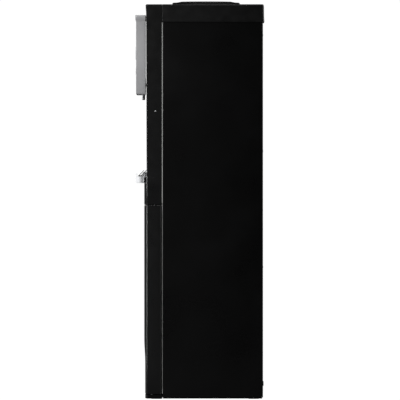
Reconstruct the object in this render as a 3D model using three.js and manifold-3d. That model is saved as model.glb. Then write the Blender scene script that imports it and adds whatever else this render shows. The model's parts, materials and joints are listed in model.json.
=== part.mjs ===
// A free-standing hot and cold water dispenser for a 19 litre bottle.
// Millimetres, +Z up. The origin is on the floor under the middle of the cabinet, and the front faces -Y.

import * as THREE from 'three';
import { mergeVertices } from 'three/addons/utils/BufferGeometryUtils.js';
import Module from 'manifold-3d';

const wasm = await Module();
wasm.setup();

// Driving dimensions.
const BODY_HALF_WIDTH = 155;
const BODY_TOP = 987;
const SEAM_Y = -93;            // front edge of the steel sides
const REAR_Y = 158.25;         // rear edge of the steel sides
const SHEET = 1.2;             // folded steel
const TURN_IN = 12;            // flanges of the steel sides
const WALL = 2.5;              // moulded plastic
const GAP = 0.4;               // clearance between neighbours

const MOULDING_REAR = SEAM_Y - 1;
const CORNER_FRONT_Y = -133.5;
const LOWER_BULGE = 5.6;       // how far the lower front bows forward of its corners
const UPPER_BULGE = 0.4;
const SPLIT_Z = 485.5;         // underside of the upper front moulding
const TONGUE_INSET = 3;        // of the tongue that closes the split behind its face
const DOOR_TOP = 484;
const DOOR_BOTTOM = 12;
const BASE_BOTTOM = 1;
const BASE_TOP = 10.5;
const BASE_CORNER_Y = -131.5;
const BASE_BULGE = 5.2;
const GLAND_X = -106;
const GLAND_Z = 36;
const GLAND_HOLE = 6.5;        // radius
const SIDE_BOTTOM = 4;
const SIDE_TOP = 955;
const SHELF_HALF_WIDTH = 149;
const SHELF_Z = 484.5;         // underside of the cross member
const SHELF_FRONT = -90;
const SHELF_REAR = 120;

const COVER_BOTTOM = 942.5;
const COVER_HALF_WIDTH = 157.7;
const COVER_REAR = 160.75;
const COVER_WALL = 2.2;
const COVER_FLARE = 1;
const COVER_CORNER = 0.6;

const BAY_HALF_WIDTH = 138;
const BAY_BOTTOM = 556;
const BAY_TOP = 764.5;
const BAY_REAR = -58;

const FASCIA_HALF_WIDTH = 152.5;
const FASCIA_BOTTOM = 761;
const FASCIA_TOP = 960;
const FASCIA_FRONT = -159.6;
const FASCIA_REAR = -135.8;
const FASCIA_BULGE = 0.5;
const LIP_FRONT = -161.75;

const TAP_X = 45;
const TAP_Y = -140.75;
const TAP_BARB_Z = 786;
const NOZZLE_TIP = 748.5;
const NOZZLE_RADIUS = 3.8;
const NOZZLE_COLLAR = 5.6;     // radius of the collar inside the fascia
const NOZZLE_TOP = 765.6;

const SEAT_Y = 16;
const SEAT_RADIUS = 85;
const SEAT_TOP = 995;
const SEAT_LEDGE = 987.4;        // underside of the seat's flange

const TANK_RADIUS = 85;
const TANK_BOTTOM = 795;
const TANK_TOP = 925;

const HOT_TANK_Y = 50;
const HOT_TANK_RADIUS = 50;
const HOT_TANK_BOTTOM = 600;
const HOT_TANK_TOP = 735;

const HINGE_X = 145;
const HINGE_Y = -119.5;
const HINGE_PIN_RADIUS = 3;

const BACK_PANEL_Y = 127.5;
const BACK_HALF_WIDTH = 153;
const BACK_BOTTOM = 186;
const BACK_TOP = 938;
const DRAIN_Z = 208;
const DRAIN_Y = 92;            // where the drain hose passes the cross member

const LINER_HALF_WIDTH = 142;
const LINER_FLOOR = 14;
const LINER_TOP = 482;
const LINER_REAR = 64;
const LINER_STEP_Y = -16;      // the raised step over the compressor
const LINER_STEP_Z = 202;
const LINER_WALL = 2;
const LINER_FLANGE = 151;      // half width

const CREST_HALF_WIDTH = 151;
const CREST_BOTTOM = 962;
const TAP_HOLE = 9;            // radius
const PIN_CLEARANCE = 0.35;

const GRIP_Z = [384, 456];     // the grip box in the door's left edge
const GRIP_WALL = 4;
const DOOR_ROUND = 6;          // of the hinged rear corner, so that the door clears the steel

const ROUND = 28;              // sides of a large round
const SMALL = 12;              // sides of a small round

// Solids: closed geometries joined and cut.

function solid(geometry) {
  const bare = geometry.clone();
  bare.deleteAttribute('normal');
  bare.deleteAttribute('uv');
  const merged = mergeVertices(bare, 1e-4);
  return new wasm.Manifold(new wasm.Mesh({
    numProp: 3,
    vertProperties: new Float32Array(merged.attributes.position.array),
    triVerts: new Uint32Array(merged.index.array),
  }));
}

function geometryOf(body) {
  const mesh = body.getMesh();
  const geometry = new THREE.BufferGeometry();
  geometry.setAttribute('position', new THREE.BufferAttribute(mesh.vertProperties, 3));
  geometry.setIndex(new THREE.BufferAttribute(mesh.triVerts, 1));
  geometry.computeVertexNormals();
  return geometry;
}

function block([x0, x1], [y0, y1], [z0, z1]) {
  const geometry = new THREE.BoxGeometry(x1 - x0, y1 - y0, z1 - z0);
  return solid(geometry.translate((x0 + x1) / 2, (y0 + y1) / 2, (z0 + z1) / 2));
}

// An outline in X and Y, raised from z0 to z1.
function prism(shape, [z0, z1], curveSegments = 8) {
  const geometry = new THREE.ExtrudeGeometry(shape, { depth: z1 - z0, bevelEnabled: false, curveSegments });
  return solid(geometry.translate(0, 0, z0));
}

// An outline in Y and Z, run along X from x0 to x1.
function run(points, [x0, x1]) {
  const shape = new THREE.Shape(points.map(([y, z]) => new THREE.Vector2(y, z)));
  const geometry = new THREE.ExtrudeGeometry(shape, { depth: x1 - x0, bevelEnabled: false });
  geometry.applyMatrix4(new THREE.Matrix4().set(0, 0, 1, x0, 1, 0, 0, 0, 0, 1, 0, 0, 0, 0, 0, 1));
  return solid(geometry);
}

// A closed profile of radius and height, turned round the vertical line through x, y.
function turned(profile, [x, y], sides = ROUND) {
  const points = profile.map(([radius, z]) => new THREE.Vector2(radius, z));
  const geometry = new THREE.LatheGeometry([...points, points[0]], sides);
  return solid(geometry.rotateX(Math.PI / 2).translate(x, y, 0));
}

function ring(inner, outer, [z0, z1], centre, sides = ROUND) {
  return turned([[inner, z0], [outer, z0], [outer, z1], [inner, z1]], centre, sides);
}

function rod(radius, [z0, z1], [x, y], sides = SMALL) {
  const geometry = new THREE.CylinderGeometry(radius, radius, z1 - z0, sides);
  return solid(geometry.rotateX(Math.PI / 2).translate(x, y, (z0 + z1) / 2));
}

// A round bar along Y.
function rodY(radius, [y0, y1], [x, z], sides = SMALL) {
  const geometry = new THREE.CylinderGeometry(radius, radius, y1 - y0, sides);
  return solid(geometry.translate(x, (y0 + y1) / 2, z));
}

function circleShape(radius, sides) {
  const shape = new THREE.Shape();
  for (let i = 0; i < sides; i += 1) {
    const angle = (i / sides) * 2 * Math.PI;
    const point = [radius * Math.cos(angle), radius * Math.sin(angle)];
    if (i === 0) shape.moveTo(...point);
    else shape.lineTo(...point);
  }
  shape.closePath();
  return shape;
}

// A bar of round section along a smooth curve through the points.
function pipe(points, radius, steps, sides = 8) {
  const places = points.map((point) => new THREE.Vector3(...point));
  const curve = new THREE.CatmullRomCurve3(places, false, 'catmullrom', 0.3);
  return solid(new THREE.ExtrudeGeometry(circleShape(radius, sides), { steps, extrudePath: curve }));
}

function roundedRectangle([x0, x1], [y0, y1], radius) {
  const shape = new THREE.Shape();
  shape.moveTo(x0 + radius, y0);
  shape.lineTo(x1 - radius, y0);
  shape.absarc(x1 - radius, y0 + radius, radius, -Math.PI / 2, 0);
  shape.lineTo(x1, y1 - radius);
  shape.absarc(x1 - radius, y1 - radius, radius, 0, Math.PI / 2);
  shape.lineTo(x0 + radius, y1);
  shape.absarc(x0 + radius, y1 - radius, radius, Math.PI / 2, Math.PI);
  shape.lineTo(x0, y0 + radius);
  shape.absarc(x0 + radius, y0 + radius, radius, Math.PI, 1.5 * Math.PI);
  return shape;
}

// A plan outline with a bowed front, rounded front corners and a straight rear.
function bowedOutline(halfWidth, cornerY, bulge, rearY, cornerRadius, spans = 10) {
  const shape = new THREE.Shape();
  const flat = halfWidth - cornerRadius;
  shape.moveTo(-halfWidth, rearY);
  shape.lineTo(-halfWidth, cornerY + cornerRadius);
  shape.absarc(-flat, cornerY + cornerRadius, cornerRadius, Math.PI, 1.5 * Math.PI);
  for (let i = 1; i < spans; i += 1) {
    const t = -1 + (2 * i) / spans;
    shape.lineTo(t * flat, cornerY - bulge * (1 - t * t));
  }
  shape.absarc(flat, cornerY + cornerRadius, cornerRadius, 1.5 * Math.PI, 2 * Math.PI);
  shape.lineTo(halfWidth, rearY);
  shape.closePath();
  return shape;
}

function bowedSolid(inset, bulge, rearY, heights) {
  const halfWidth = BODY_HALF_WIDTH - inset;
  const cornerRadius = Math.max(4 - inset, 1);
  return prism(bowedOutline(halfWidth, CORNER_FRONT_Y + inset, bulge, rearY, cornerRadius), heights, 3);
}

// The scene graph.

const dispenser = new THREE.Group();
const cabinet = new THREE.Group();
const front = new THREE.Group();
const waterSystem = new THREE.Group();
const coolingSystem = new THREE.Group();
dispenser.add(cabinet, front, waterSystem, coolingSystem);

const finishes = {
  blackSteel: { color: 0x0c0c0d, roughness: 0.45, metalness: 0.1 },
  blackPlastic: { color: 0x121213, roughness: 0.35, metalness: 0 },
  whitePlastic: { color: 0xd8d9da, roughness: 0.45, metalness: 0 },
  silver: { color: 0x9a9b9e, roughness: 0.35, metalness: 0.3 },
  chrome: { color: 0xd5d7da, roughness: 0.12, metalness: 1 },
  galvanised: { color: 0xa3a6a8, roughness: 0.45, metalness: 0.8 },
  stainless: { color: 0xb9bbbd, roughness: 0.3, metalness: 0.9 },
  copper: { color: 0xb5703f, roughness: 0.3, metalness: 0.9 },
  rubber: { color: 0x1a1a1a, roughness: 0.8, metalness: 0 },
  foam: { color: 0xe8e8e4, roughness: 0.9, metalness: 0 },
  silicone: { color: 0xdedfe0, roughness: 0.5, metalness: 0 },
  red: { color: 0xb3221c, roughness: 0.4, metalness: 0 },
  blue: { color: 0x1f56a8, roughness: 0.4, metalness: 0 },
  green: { color: 0x1f8a45, roughness: 0.4, metalness: 0 },
  board: { color: 0x1f5c36, roughness: 0.6, metalness: 0 },
};

function add(group, name, body, finish) {
  const mesh = new THREE.Mesh(geometryOf(body), new THREE.MeshStandardMaterial(finishes[finish]));
  mesh.name = name;
  group.add(mesh);
  return mesh;
}

// Cabinet: base, feet, steel sides, cross member, back, top.

function basePan() {
  const rearHalf = BODY_HALF_WIDTH - SHEET - GAP;
  const frontOuter = bowedOutline(BODY_HALF_WIDTH, BASE_CORNER_Y, BASE_BULGE, SEAM_Y - GAP, 4);
  const frontInner = bowedOutline(BODY_HALF_WIDTH - 2, BASE_CORNER_Y + 2, BASE_BULGE, SEAM_Y + 1, 2);
  const skin = [BASE_BOTTOM, BASE_TOP];
  const hollow = [BASE_BOTTOM - 1, BASE_TOP - 2];
  const flangeIn = BODY_HALF_WIDTH - TURN_IN - GAP;
  const flangeRear = SEAM_Y + SHEET + GAP;
  let pan = prism(frontOuter, skin, 3).add(block([-flangeIn, flangeIn], [SEAM_Y - 1, flangeRear + 1], skin));
  pan = pan.add(block([-rearHalf, rearHalf], [flangeRear, REAR_Y - 2], skin));
  pan = pan.subtract(prism(frontInner, hollow, 3));
  pan = pan.subtract(block([2 - flangeIn, flangeIn - 2], [SEAM_Y - 5, flangeRear + 5], hollow));
  pan = pan.subtract(block([2 - rearHalf, rearHalf - 2], [flangeRear + 2, REAR_Y - 4], hollow));
  const upstand = block([-150, -62], [REAR_Y - 4, REAR_Y - 2.5], [BASE_TOP - 1, 60]);
  pan = pan.add(upstand).subtract(rodY(GLAND_HOLE, [REAR_Y - 6, REAR_Y], [GLAND_X, GLAND_Z]));
  return pan.subtract(rod(HINGE_PIN_RADIUS + PIN_CLEARANCE, [0, 20], [HINGE_X, HINGE_Y]));
}

function foot(x, y) {
  return turned([[0, 0], [13, 0], [14, 1.5], [12, BASE_TOP - 2 - GAP], [0, BASE_TOP - 2 - GAP]], [x, y], 14);
}

function sidePanel(side) {
  const outer = BODY_HALF_WIDTH;
  const shape = new THREE.Shape();
  const radius = 2;
  shape.moveTo(outer - TURN_IN, SEAM_Y);
  shape.lineTo(outer - radius, SEAM_Y);
  shape.absarc(outer - radius, SEAM_Y + radius, radius, -Math.PI / 2, 0);
  shape.lineTo(outer, REAR_Y - radius);
  shape.absarc(outer - radius, REAR_Y - radius, radius, 0, Math.PI / 2);
  shape.lineTo(outer - TURN_IN, REAR_Y);
  shape.lineTo(outer - TURN_IN, REAR_Y - SHEET);
  shape.lineTo(outer - SHEET, REAR_Y - SHEET);
  shape.lineTo(outer - SHEET, SEAM_Y + SHEET);
  shape.lineTo(outer - TURN_IN, SEAM_Y + SHEET);
  shape.closePath();
  const right = prism(shape, [SIDE_BOTTOM, SIDE_TOP], 3)
    .subtract(block([outer - TURN_IN - 1, outer + 1], [SEAM_Y - 1, SEAM_Y + 2.4],
      [COVER_BOTTOM - GAP, SIDE_TOP + 1]));
  return side > 0 ? right : right.mirror([1, 0, 0]);
}

function topCover() {
  const plan = (inset, frontY) => roundedRectangle(
    [inset - COVER_HALF_WIDTH, COVER_HALF_WIDTH - inset], [frontY, COVER_REAR - inset], COVER_CORNER);
  let cover = prism(plan(0, SEAM_Y - GAP), [COVER_BOTTOM, BODY_TOP], 3);
  cover = cover.add(prism(plan(-COVER_FLARE, SEAM_Y - GAP), [COVER_BOTTOM, COVER_BOTTOM + 3], 3));
  const inside = plan(COVER_WALL, SEAM_Y - GAP + COVER_WALL);
  cover = cover.subtract(prism(inside, [COVER_BOTTOM - 1, BODY_TOP - 3], 3));
  cover = cover.add(turned([[79, 960], [82, 960], [86, BODY_TOP - 1], [79, BODY_TOP - 1]], [0, SEAT_Y]));
  const well = [[0, 950], [79, 950], [79, 985.3], [84.3, 985.3], [84.3, 1000], [0, 1000]];
  return cover.subtract(turned(well, [0, SEAT_Y]));
}

function crossMember() {
  const across = [-SHELF_HALF_WIDTH, SHELF_HALF_WIDTH];
  const sheet = 1.5;
  let shelf = block(across, [SHELF_FRONT, SHELF_REAR], [SHELF_Z, SHELF_Z + sheet]);
  for (const edge of [[SHELF_FRONT, SHELF_FRONT + sheet], [SHELF_REAR - sheet, SHELF_REAR]]) {
    shelf = shelf.add(block(across, edge, [SHELF_Z + 0.5, SHELF_Z + 15.5]));
  }
  return shelf.subtract(rod(9, [SHELF_Z - 5, SHELF_Z + 5], [0, DRAIN_Y]));
}

function backPanel() {
  const heights = [BACK_BOTTOM, BACK_TOP];
  let panel = block([-BACK_HALF_WIDTH, BACK_HALF_WIDTH], [BACK_PANEL_Y, BACK_PANEL_Y + SHEET], heights);
  for (const side of [-1, 1]) {
    const edge = [side * BACK_HALF_WIDTH, side * (BACK_HALF_WIDTH - SHEET)].sort((a, b) => a - b);
    panel = panel.add(block(edge, [BACK_PANEL_Y, REAR_Y - SHEET - GAP], heights));
  }
  return panel.subtract(rodY(8, [BACK_PANEL_Y - 5, BACK_PANEL_Y + 5], [0, DRAIN_Z]));
}

function cabinetLiner() {
  const outline = (inset, mouthY) => [
    [mouthY, LINER_FLOOR + inset], [LINER_STEP_Y - inset, LINER_FLOOR + inset],
    [LINER_STEP_Y - inset, LINER_STEP_Z + inset], [LINER_REAR - inset, LINER_STEP_Z + inset],
    [LINER_REAR - inset, LINER_TOP - inset], [mouthY, LINER_TOP - inset],
  ];
  const mouth = SEAM_Y + SHEET + GAP;
  const inner = LINER_HALF_WIDTH - LINER_WALL;
  let liner = run(outline(0, mouth), [-LINER_HALF_WIDTH, LINER_HALF_WIDTH]);
  const flangeHeights = [LINER_FLOOR - 1, LINER_TOP + 1.5];
  liner = liner.add(block([-LINER_FLANGE, LINER_FLANGE], [mouth, mouth + LINER_WALL], flangeHeights));
  return liner.subtract(run(outline(LINER_WALL, mouth - 3), [-inner, inner]));
}

// Front mouldings: upper panel, dispensing bay, fascia, drip tray, door.

function upperFrontPanel() {
  const bayLip = BAY_BOTTOM - GAP;
  let panel = bowedSolid(0, LOWER_BULGE, MOULDING_REAR, [SPLIT_Z, bayLip + 1]);
  panel = panel.add(bowedSolid(0, UPPER_BULGE, MOULDING_REAR, [bayLip, BODY_TOP]));
  const crest = [[CORNER_FRONT_Y + 1, CREST_BOTTOM], [CORNER_FRONT_Y - UPPER_BULGE, CREST_BOTTOM],
    [CORNER_FRONT_Y - 2.1, BODY_TOP - 1.5], [CORNER_FRONT_Y - 1.2, BODY_TOP], [CORNER_FRONT_Y + 1, BODY_TOP]];
  panel = panel.add(run(crest, [-CREST_HALF_WIDTH, CREST_HALF_WIDTH]));
  panel = panel.add(bowedSolid(TONGUE_INSET, LOWER_BULGE, MOULDING_REAR, [DOOR_TOP + GAP, SPLIT_Z + 1]));
  panel = panel.subtract(bowedSolid(WALL, LOWER_BULGE, MOULDING_REAR + 5, [SPLIT_Z + WALL, bayLip - WALL]));
  const upperHeights = [bayLip - WALL - 1, BODY_TOP - WALL];
  panel = panel.subtract(bowedSolid(WALL, UPPER_BULGE, MOULDING_REAR + 5, upperHeights));
  panel = panel.subtract(block([-BAY_HALF_WIDTH, BAY_HALF_WIDTH], [-150, -80], [bayLip, BAY_TOP]));
  for (const x of [-TAP_X, TAP_X]) {
    panel = panel.subtract(rodY(TAP_HOLE, [-145, -120], [x, TAP_BARB_Z]));
  }
  return panel.subtract(rod(HINGE_PIN_RADIUS + PIN_CLEARANCE, [480, 495], [HINGE_X, HINGE_Y]));
}

function alcoveLiner() {
  const outer = BAY_HALF_WIDTH - GAP;
  const shell = block([-outer, outer], [CORNER_FRONT_Y, BAY_REAR], [BAY_BOTTOM, BAY_TOP - GAP]);
  const inside = [[-150, BAY_BOTTOM + 2], [BAY_REAR - 6, BAY_BOTTOM + 2], [BAY_REAR - 2, BAY_BOTTOM + 6],
    [BAY_REAR - 2, BAY_TOP - 14], [BAY_REAR - 12, BAY_TOP - GAP - 2], [-150, BAY_TOP - GAP - 2]];
  return shell.subtract(run(inside, [2 - outer, outer - 2]));
}

const fasciaOutline = (inset, frontY, rearY) => bowedOutline(
  FASCIA_HALF_WIDTH - inset, frontY + FASCIA_BULGE + inset, FASCIA_BULGE, rearY, Math.max(3 - inset, 0.5), 8);

const BUTTON_Z = 865;
const BUTTON_HALF_WIDTH = 16;
const BUTTON_HALF_HEIGHT = 11;
const BUTTON_REAR = -153.4;
const LIP_HALF_WIDTH = 154;
const LOCK_Z = 820;
const LIGHTS = [-14, 0, 14];
const LIGHT_Z = 905;

function buttonShape(x, z, halfWidth, halfHeight, radius) {
  return roundedRectangle([x - halfWidth, x + halfWidth], [z - halfHeight, z + halfHeight], radius);
}

// A shape drawn in X and Z, run along Y.
function through(shape, [y0, y1], curveSegments = 3) {
  const geometry = new THREE.ExtrudeGeometry(shape, { depth: y1 - y0, bevelEnabled: false, curveSegments });
  return solid(geometry.rotateX(Math.PI / 2).translate(0, y1, 0));
}

function controlFascia() {
  let fascia = prism(fasciaOutline(0, FASCIA_FRONT, FASCIA_REAR), [FASCIA_BOTTOM, FASCIA_TOP], 3);
  const lip = run([[FASCIA_FRONT, 941], [LIP_FRONT, 948], [LIP_FRONT, FASCIA_TOP - 1.5],
    [LIP_FRONT + 1.5, FASCIA_TOP], [-145, FASCIA_TOP], [-145, 941]], [-LIP_HALF_WIDTH, LIP_HALF_WIDTH]);
  const lipPlan = prism(fasciaOutline(0, LIP_FRONT, -145), [940, FASCIA_TOP], 3);
  fascia = fascia.add(lip.intersect(lipPlan));
  fascia = fascia.subtract(prism(fasciaOutline(WALL, FASCIA_FRONT, FASCIA_REAR + 2),
    [FASCIA_BOTTOM + WALL, FASCIA_TOP - WALL], 4));
  for (const x of [-TAP_X, TAP_X]) {
    const buttonHole = buttonShape(x, BUTTON_Z, BUTTON_HALF_WIDTH + 0.5, BUTTON_HALF_HEIGHT + 0.5, 6);
    fascia = fascia.subtract(rod(6, [750, 770], [x, TAP_Y], 20));
    fascia = fascia.subtract(through(buttonHole, [-165, -150]));
  }
  fascia = fascia.subtract(block([TAP_X - 12.4, TAP_X + 12.4], [-165, -150], [LOCK_Z - 4.4, LOCK_Z + 4.4]));
  for (const x of LIGHTS) {
    fascia = fascia.subtract(rodY(2.4, [-165, -150], [x, LIGHT_Z], 12));
  }
  return fascia;
}

function dispenseButton(x) {
  const capShape = buttonShape(x, BUTTON_Z, BUTTON_HALF_WIDTH, BUTTON_HALF_HEIGHT, 5.6);
  const cap = through(capShape, [-161, BUTTON_REAR]);
  const flangeShape = buttonShape(x, BUTTON_Z, BUTTON_HALF_WIDTH + 2.5, BUTTON_HALF_HEIGHT + 2.5, 7);
  const flange = through(flangeShape, [-156, BUTTON_REAR]);
  const envelope = prism(fasciaOutline(0, FASCIA_FRONT + 0.2, -140), [800, 900], 3);
  const behind = prism(fasciaOutline(WALL + GAP, FASCIA_FRONT, -140), [800, 900], 3);
  const stem = rodY(4, [-154, -148], [x, BUTTON_Z]);
  return cap.intersect(envelope).add(flange.intersect(behind)).add(stem);
}

function lockSlider() {
  const x = TAP_X - 6;
  const knob = block([x - 6, x + 6], [-161, -154], [LOCK_Z - 4, LOCK_Z + 4]);
  const keeper = block([x - 9, x + 9], [-156.4, BUTTON_REAR], [LOCK_Z - 7, LOCK_Z + 7]);
  const envelope = prism(fasciaOutline(0, FASCIA_FRONT - 0.6, -140), [800, 900], 3);
  const behind = prism(fasciaOutline(WALL + GAP, FASCIA_FRONT, -140), [800, 900], 3);
  return knob.intersect(envelope).add(keeper.intersect(behind));
}

function controlBoard() {
  let board = block([-70, 70], [-145.6, -144], [806, 925]);
  for (const x of LIGHTS) board = board.add(block([x - 2, x + 2], [-148, -145], [LIGHT_Z - 2, LIGHT_Z + 2]));
  return board;
}

function tap(x) {
  const body = rod(5.8, [766, 803], [x, TAP_Y]);
  const barb = rodY(4.5, [TAP_Y, -116], [x, TAP_BARB_Z]).add(rodY(5.4, [-121, -118.5], [x, TAP_BARB_Z]));
  return body.add(barb).subtract(rod(3, [760, 790], [x, TAP_Y]))
    .subtract(rodY(2.4, [TAP_Y, -110], [x, TAP_BARB_Z], SMALL));
}

function nozzle(x) {
  const bore = 2.4;
  return turned([[bore, NOZZLE_TIP], [NOZZLE_RADIUS - 0.6, NOZZLE_TIP], [NOZZLE_RADIUS, NOZZLE_TIP + 1],
    [NOZZLE_RADIUS, FASCIA_BOTTOM + 0.6], [NOZZLE_COLLAR, FASCIA_BOTTOM + 1.8], [NOZZLE_COLLAR, NOZZLE_TOP],
    [bore, NOZZLE_TOP]], [x, TAP_Y], 14);
}

const TRAY_HALF_WIDTH = 130;
const TRAY_CORNER = -141;
const TRAY_BULGE = TRAY_CORNER - LIP_FRONT;
const TRAY_REAR = -64;
const TRAY_FLOOR = BAY_BOTTOM + 2 + GAP;
const TRAY_RIM = 564;
const BOWL_RIM = 556.5;
const BOWL_REAR = -139.5;
const TRAY_WALL = 2.2;
const BOWL_BOTTOM = 540;
const BOWL_LIP = 562;
const GRILLE_TOP = 572;
const GRILLE_HALF_WIDTH = 127;
const BLADE_PITCH = 6;
const BLADE_WIDTH = 1.7;       // along Y, so a blade at 45 degrees is 1.2 thick

const trayOutline = (inset, rearY) => bowedOutline(
  TRAY_HALF_WIDTH - inset, TRAY_CORNER + inset, TRAY_BULGE, rearY, Math.max(5 - inset, 1), 14);

// A shallow pan inside the bay, and a deeper bowl that hangs in front of the lower moulding.
function dripTray() {
  const clearOfPanel = bowedSolid(-GAP, LOWER_BULGE, MOULDING_REAR, [500, BAY_BOTTOM + GAP]);
  let tray = prism(trayOutline(0, TRAY_REAR), [TRAY_FLOOR, TRAY_RIM], 3);
  tray = tray.add(prism(trayOutline(0, -134), [BOWL_BOTTOM, BOWL_LIP], 3).subtract(clearOfPanel));
  const panHollow = trayOutline(TRAY_WALL, TRAY_REAR - TRAY_WALL);
  tray = tray.subtract(prism(panHollow, [TRAY_FLOOR + 2, GRILLE_TOP - 2], 3));
  const bowlHeights = [BOWL_BOTTOM + TRAY_WALL, TRAY_FLOOR + 3];
  const panelWall = bowedSolid(-GAP - TRAY_WALL, LOWER_BULGE, MOULDING_REAR, [500, TRAY_FLOOR + 2]);
  tray = tray.subtract(prism(trayOutline(TRAY_WALL, -130), bowlHeights, 3).subtract(panelWall));
  return tray.subtract(block([-140, 140], [-157, BOWL_REAR], [BOWL_RIM, 575]));
}

// Slanted blades across the tray, standing higher at the rear than at the front, on three rails.
function dripGrille() {
  const seat = TRAY_RIM + GAP;
  const sump = BOWL_RIM + GAP;
  const envelope = run([[-156.5, sump], [BOWL_REAR, sump], [BOWL_REAR, seat], [TRAY_REAR - 3, seat],
    [TRAY_REAR - 3, GRILLE_TOP], [-144, GRILLE_TOP], [-156.5, GRILLE_TOP - 10.5]],
  [-GRILLE_HALF_WIDTH, GRILLE_HALF_WIDTH]);
  const within = prism(trayOutline(3, TRAY_REAR - 3), [sump, GRILLE_TOP], 3).intersect(envelope);
  const railProfile = [[-156, sump], [BOWL_REAR, sump], [BOWL_REAR, seat], [TRAY_REAR - 3, seat],
    [TRAY_REAR - 3, seat + 2], [BOWL_REAR - 2.5, seat + 2], [BOWL_REAR - 2.5, sump + 2], [-156, sump + 2]];
  let grille = run(railProfile, [-1.5, 1.5]);
  for (const x of [-88, 85]) grille = grille.add(run(railProfile, [x, x + 3]));
  const rise = GRILLE_TOP - sump;
  for (let y = -155.5; y < TRAY_REAR - 12; y += BLADE_PITCH) {
    const rear = y + BLADE_WIDTH;
    const blade = [[y, sump], [rear, sump], [rear + rise, GRILLE_TOP], [y + rise, GRILLE_TOP]];
    grille = grille.add(run(blade, [-GRILLE_HALF_WIDTH, GRILLE_HALF_WIDTH]).intersect(within));
  }
  return grille.intersect(within);
}

function doorShell() {
  const heights = [DOOR_BOTTOM, DOOR_TOP];
  const turnX = BODY_HALF_WIDTH - DOOR_ROUND;
  const turnY = MOULDING_REAR - DOOR_ROUND;
  const rearCorner = block([turnX, BODY_HALF_WIDTH + 1], [turnY, MOULDING_REAR + 1], [0, 500])
    .subtract(rod(DOOR_ROUND, [0, 500], [turnX, turnY], 24));
  let door = bowedSolid(0, LOWER_BULGE, MOULDING_REAR, heights).subtract(rearCorner);
  const cavity = bowedSolid(WALL, LOWER_BULGE, MOULDING_REAR + 5, [DOOR_BOTTOM + WALL, DOOR_TOP - WALL]);
  const corner = block([142, 156], [MOULDING_REAR - 12, MOULDING_REAR + 6], [0, 500]);
  door = door.subtract(cavity.subtract(corner));
  door = door.add(block([-153, -138], [-122, MOULDING_REAR], GRIP_Z));
  const grip = [GRIP_Z[0] + GRIP_WALL, GRIP_Z[1] - GRIP_WALL];
  door = door.subtract(block([-156, -141], [-119, MOULDING_REAR - GRIP_WALL], grip));
  return door.subtract(rod(HINGE_PIN_RADIUS + PIN_CLEARANCE, [0, 30], [HINGE_X, HINGE_Y]))
    .subtract(rod(HINGE_PIN_RADIUS + PIN_CLEARANCE, [468, 500], [HINGE_X, HINGE_Y]));
}

function doorInnerPanel() {
  const outer = through(roundedRectangle([-152, 141.6], [DOOR_BOTTOM + 3, DOOR_TOP - 3], 3), [-96.6, -94.4]);
  const recess = through(roundedRectangle([-112, 118], [60, 440], 12), [-104, -96]);
  const pocket = through(roundedRectangle([-110, 116], [62, 438], 10), [-102, -90]);
  const body = outer.add(recess).subtract(pocket);
  return body.subtract(block([-160, -137.6], [-130, -90], [GRIP_Z[0] - 1, GRIP_Z[1] + 1]));
}

function frameRing([x0, x1], [z0, z1], width, depths) {
  const outer = roundedRectangle([x0, x1], [z0, z1], 6);
  const inner = roundedRectangle([x0 + width, x1 - width], [z0 + width, z1 - width], 3);
  return through(outer, depths).subtract(through(inner, [-200, 200]));
}

// Water path: bottle seat, tanks, hoses.

function bottleSeat() {
  return turned([
    [12, 941], [30, 941], [73, 962], [77.5, 966], [77.5, SEAT_LEDGE], [82, SEAT_LEDGE], [SEAT_RADIUS, 989.4],
    [SEAT_RADIUS, 990.6], [82.6, 992], [73, 992.8], [62, SEAT_TOP], [57, SEAT_TOP], [55, 990], [28, 948],
    [12, 944],
  ], [0, SEAT_Y], 36);
}

function feedProbe() {
  let probe = turned([[6.5, 934], [11, 934], [11, 945.4], [15, 945.4], [15, 948.5], [11, 948.5], [10, 980],
    [4, 988], [0, 988], [0, 984], [6.5, 980]], [0, SEAT_Y], 20);
  for (const angle of [0, 0.5 * Math.PI]) {
    const slot = new THREE.BoxGeometry(30, 5, 14).rotateZ(angle).translate(0, SEAT_Y, 968);
    probe = probe.subtract(solid(slot));
  }
  return probe;
}

function coldTank() {
  const shell = turned([[0, TANK_BOTTOM], [TANK_RADIUS - 6, TANK_BOTTOM], [TANK_RADIUS, TANK_BOTTOM + 6],
    [TANK_RADIUS, TANK_TOP], [TANK_RADIUS - 1.5, TANK_TOP], [TANK_RADIUS - 1.5, TANK_BOTTOM + 7],
    [TANK_RADIUS - 7, TANK_BOTTOM + 1.5], [0, TANK_BOTTOM + 1.5]], [0, SEAT_Y]);
  const outlet = [-35, -22];
  return shell.add(rod(5, [TANK_BOTTOM - 12, TANK_BOTTOM + 1], outlet))
    .subtract(rod(3, [TANK_BOTTOM - 15, TANK_BOTTOM + 5], outlet));
}

function tankLid() {
  return turned([[13, TANK_TOP + GAP], [TANK_RADIUS + 2, TANK_TOP + GAP], [TANK_RADIUS + 2, TANK_TOP + 3],
    [20, TANK_TOP + 3], [20, TANK_TOP + 7], [13, TANK_TOP + 7]], [0, SEAT_Y]);
}

function tankBaffle() {
  return ring(8, TANK_RADIUS - 4, [884, 886], [0, SEAT_Y]).add(ring(8, 12, [830, 886], [0, SEAT_Y], 24));
}

function evaporatorCoil() {
  const points = [];
  const turns = 4;
  const perTurn = 18;
  const radius = 90.2;
  for (let i = 0; i <= turns * perTurn; i += 1) {
    const angle = (i / perTurn) * 2 * Math.PI;
    points.push([radius * Math.cos(angle), SEAT_Y + radius * Math.sin(angle), 815 + (i / perTurn) * 15]);
  }
  return pipe(points, 2.8, turns * perTurn, 5);
}

function tankInsulation() {
  const jacket = turned([[0, 779], [107, 779], [107, 922], [94.5, 922], [94.5, 793], [0, 793]], [0, SEAT_Y]);
  return jacket.subtract(rod(7, [770, 800], [-35, -22], 12));
}

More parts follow.
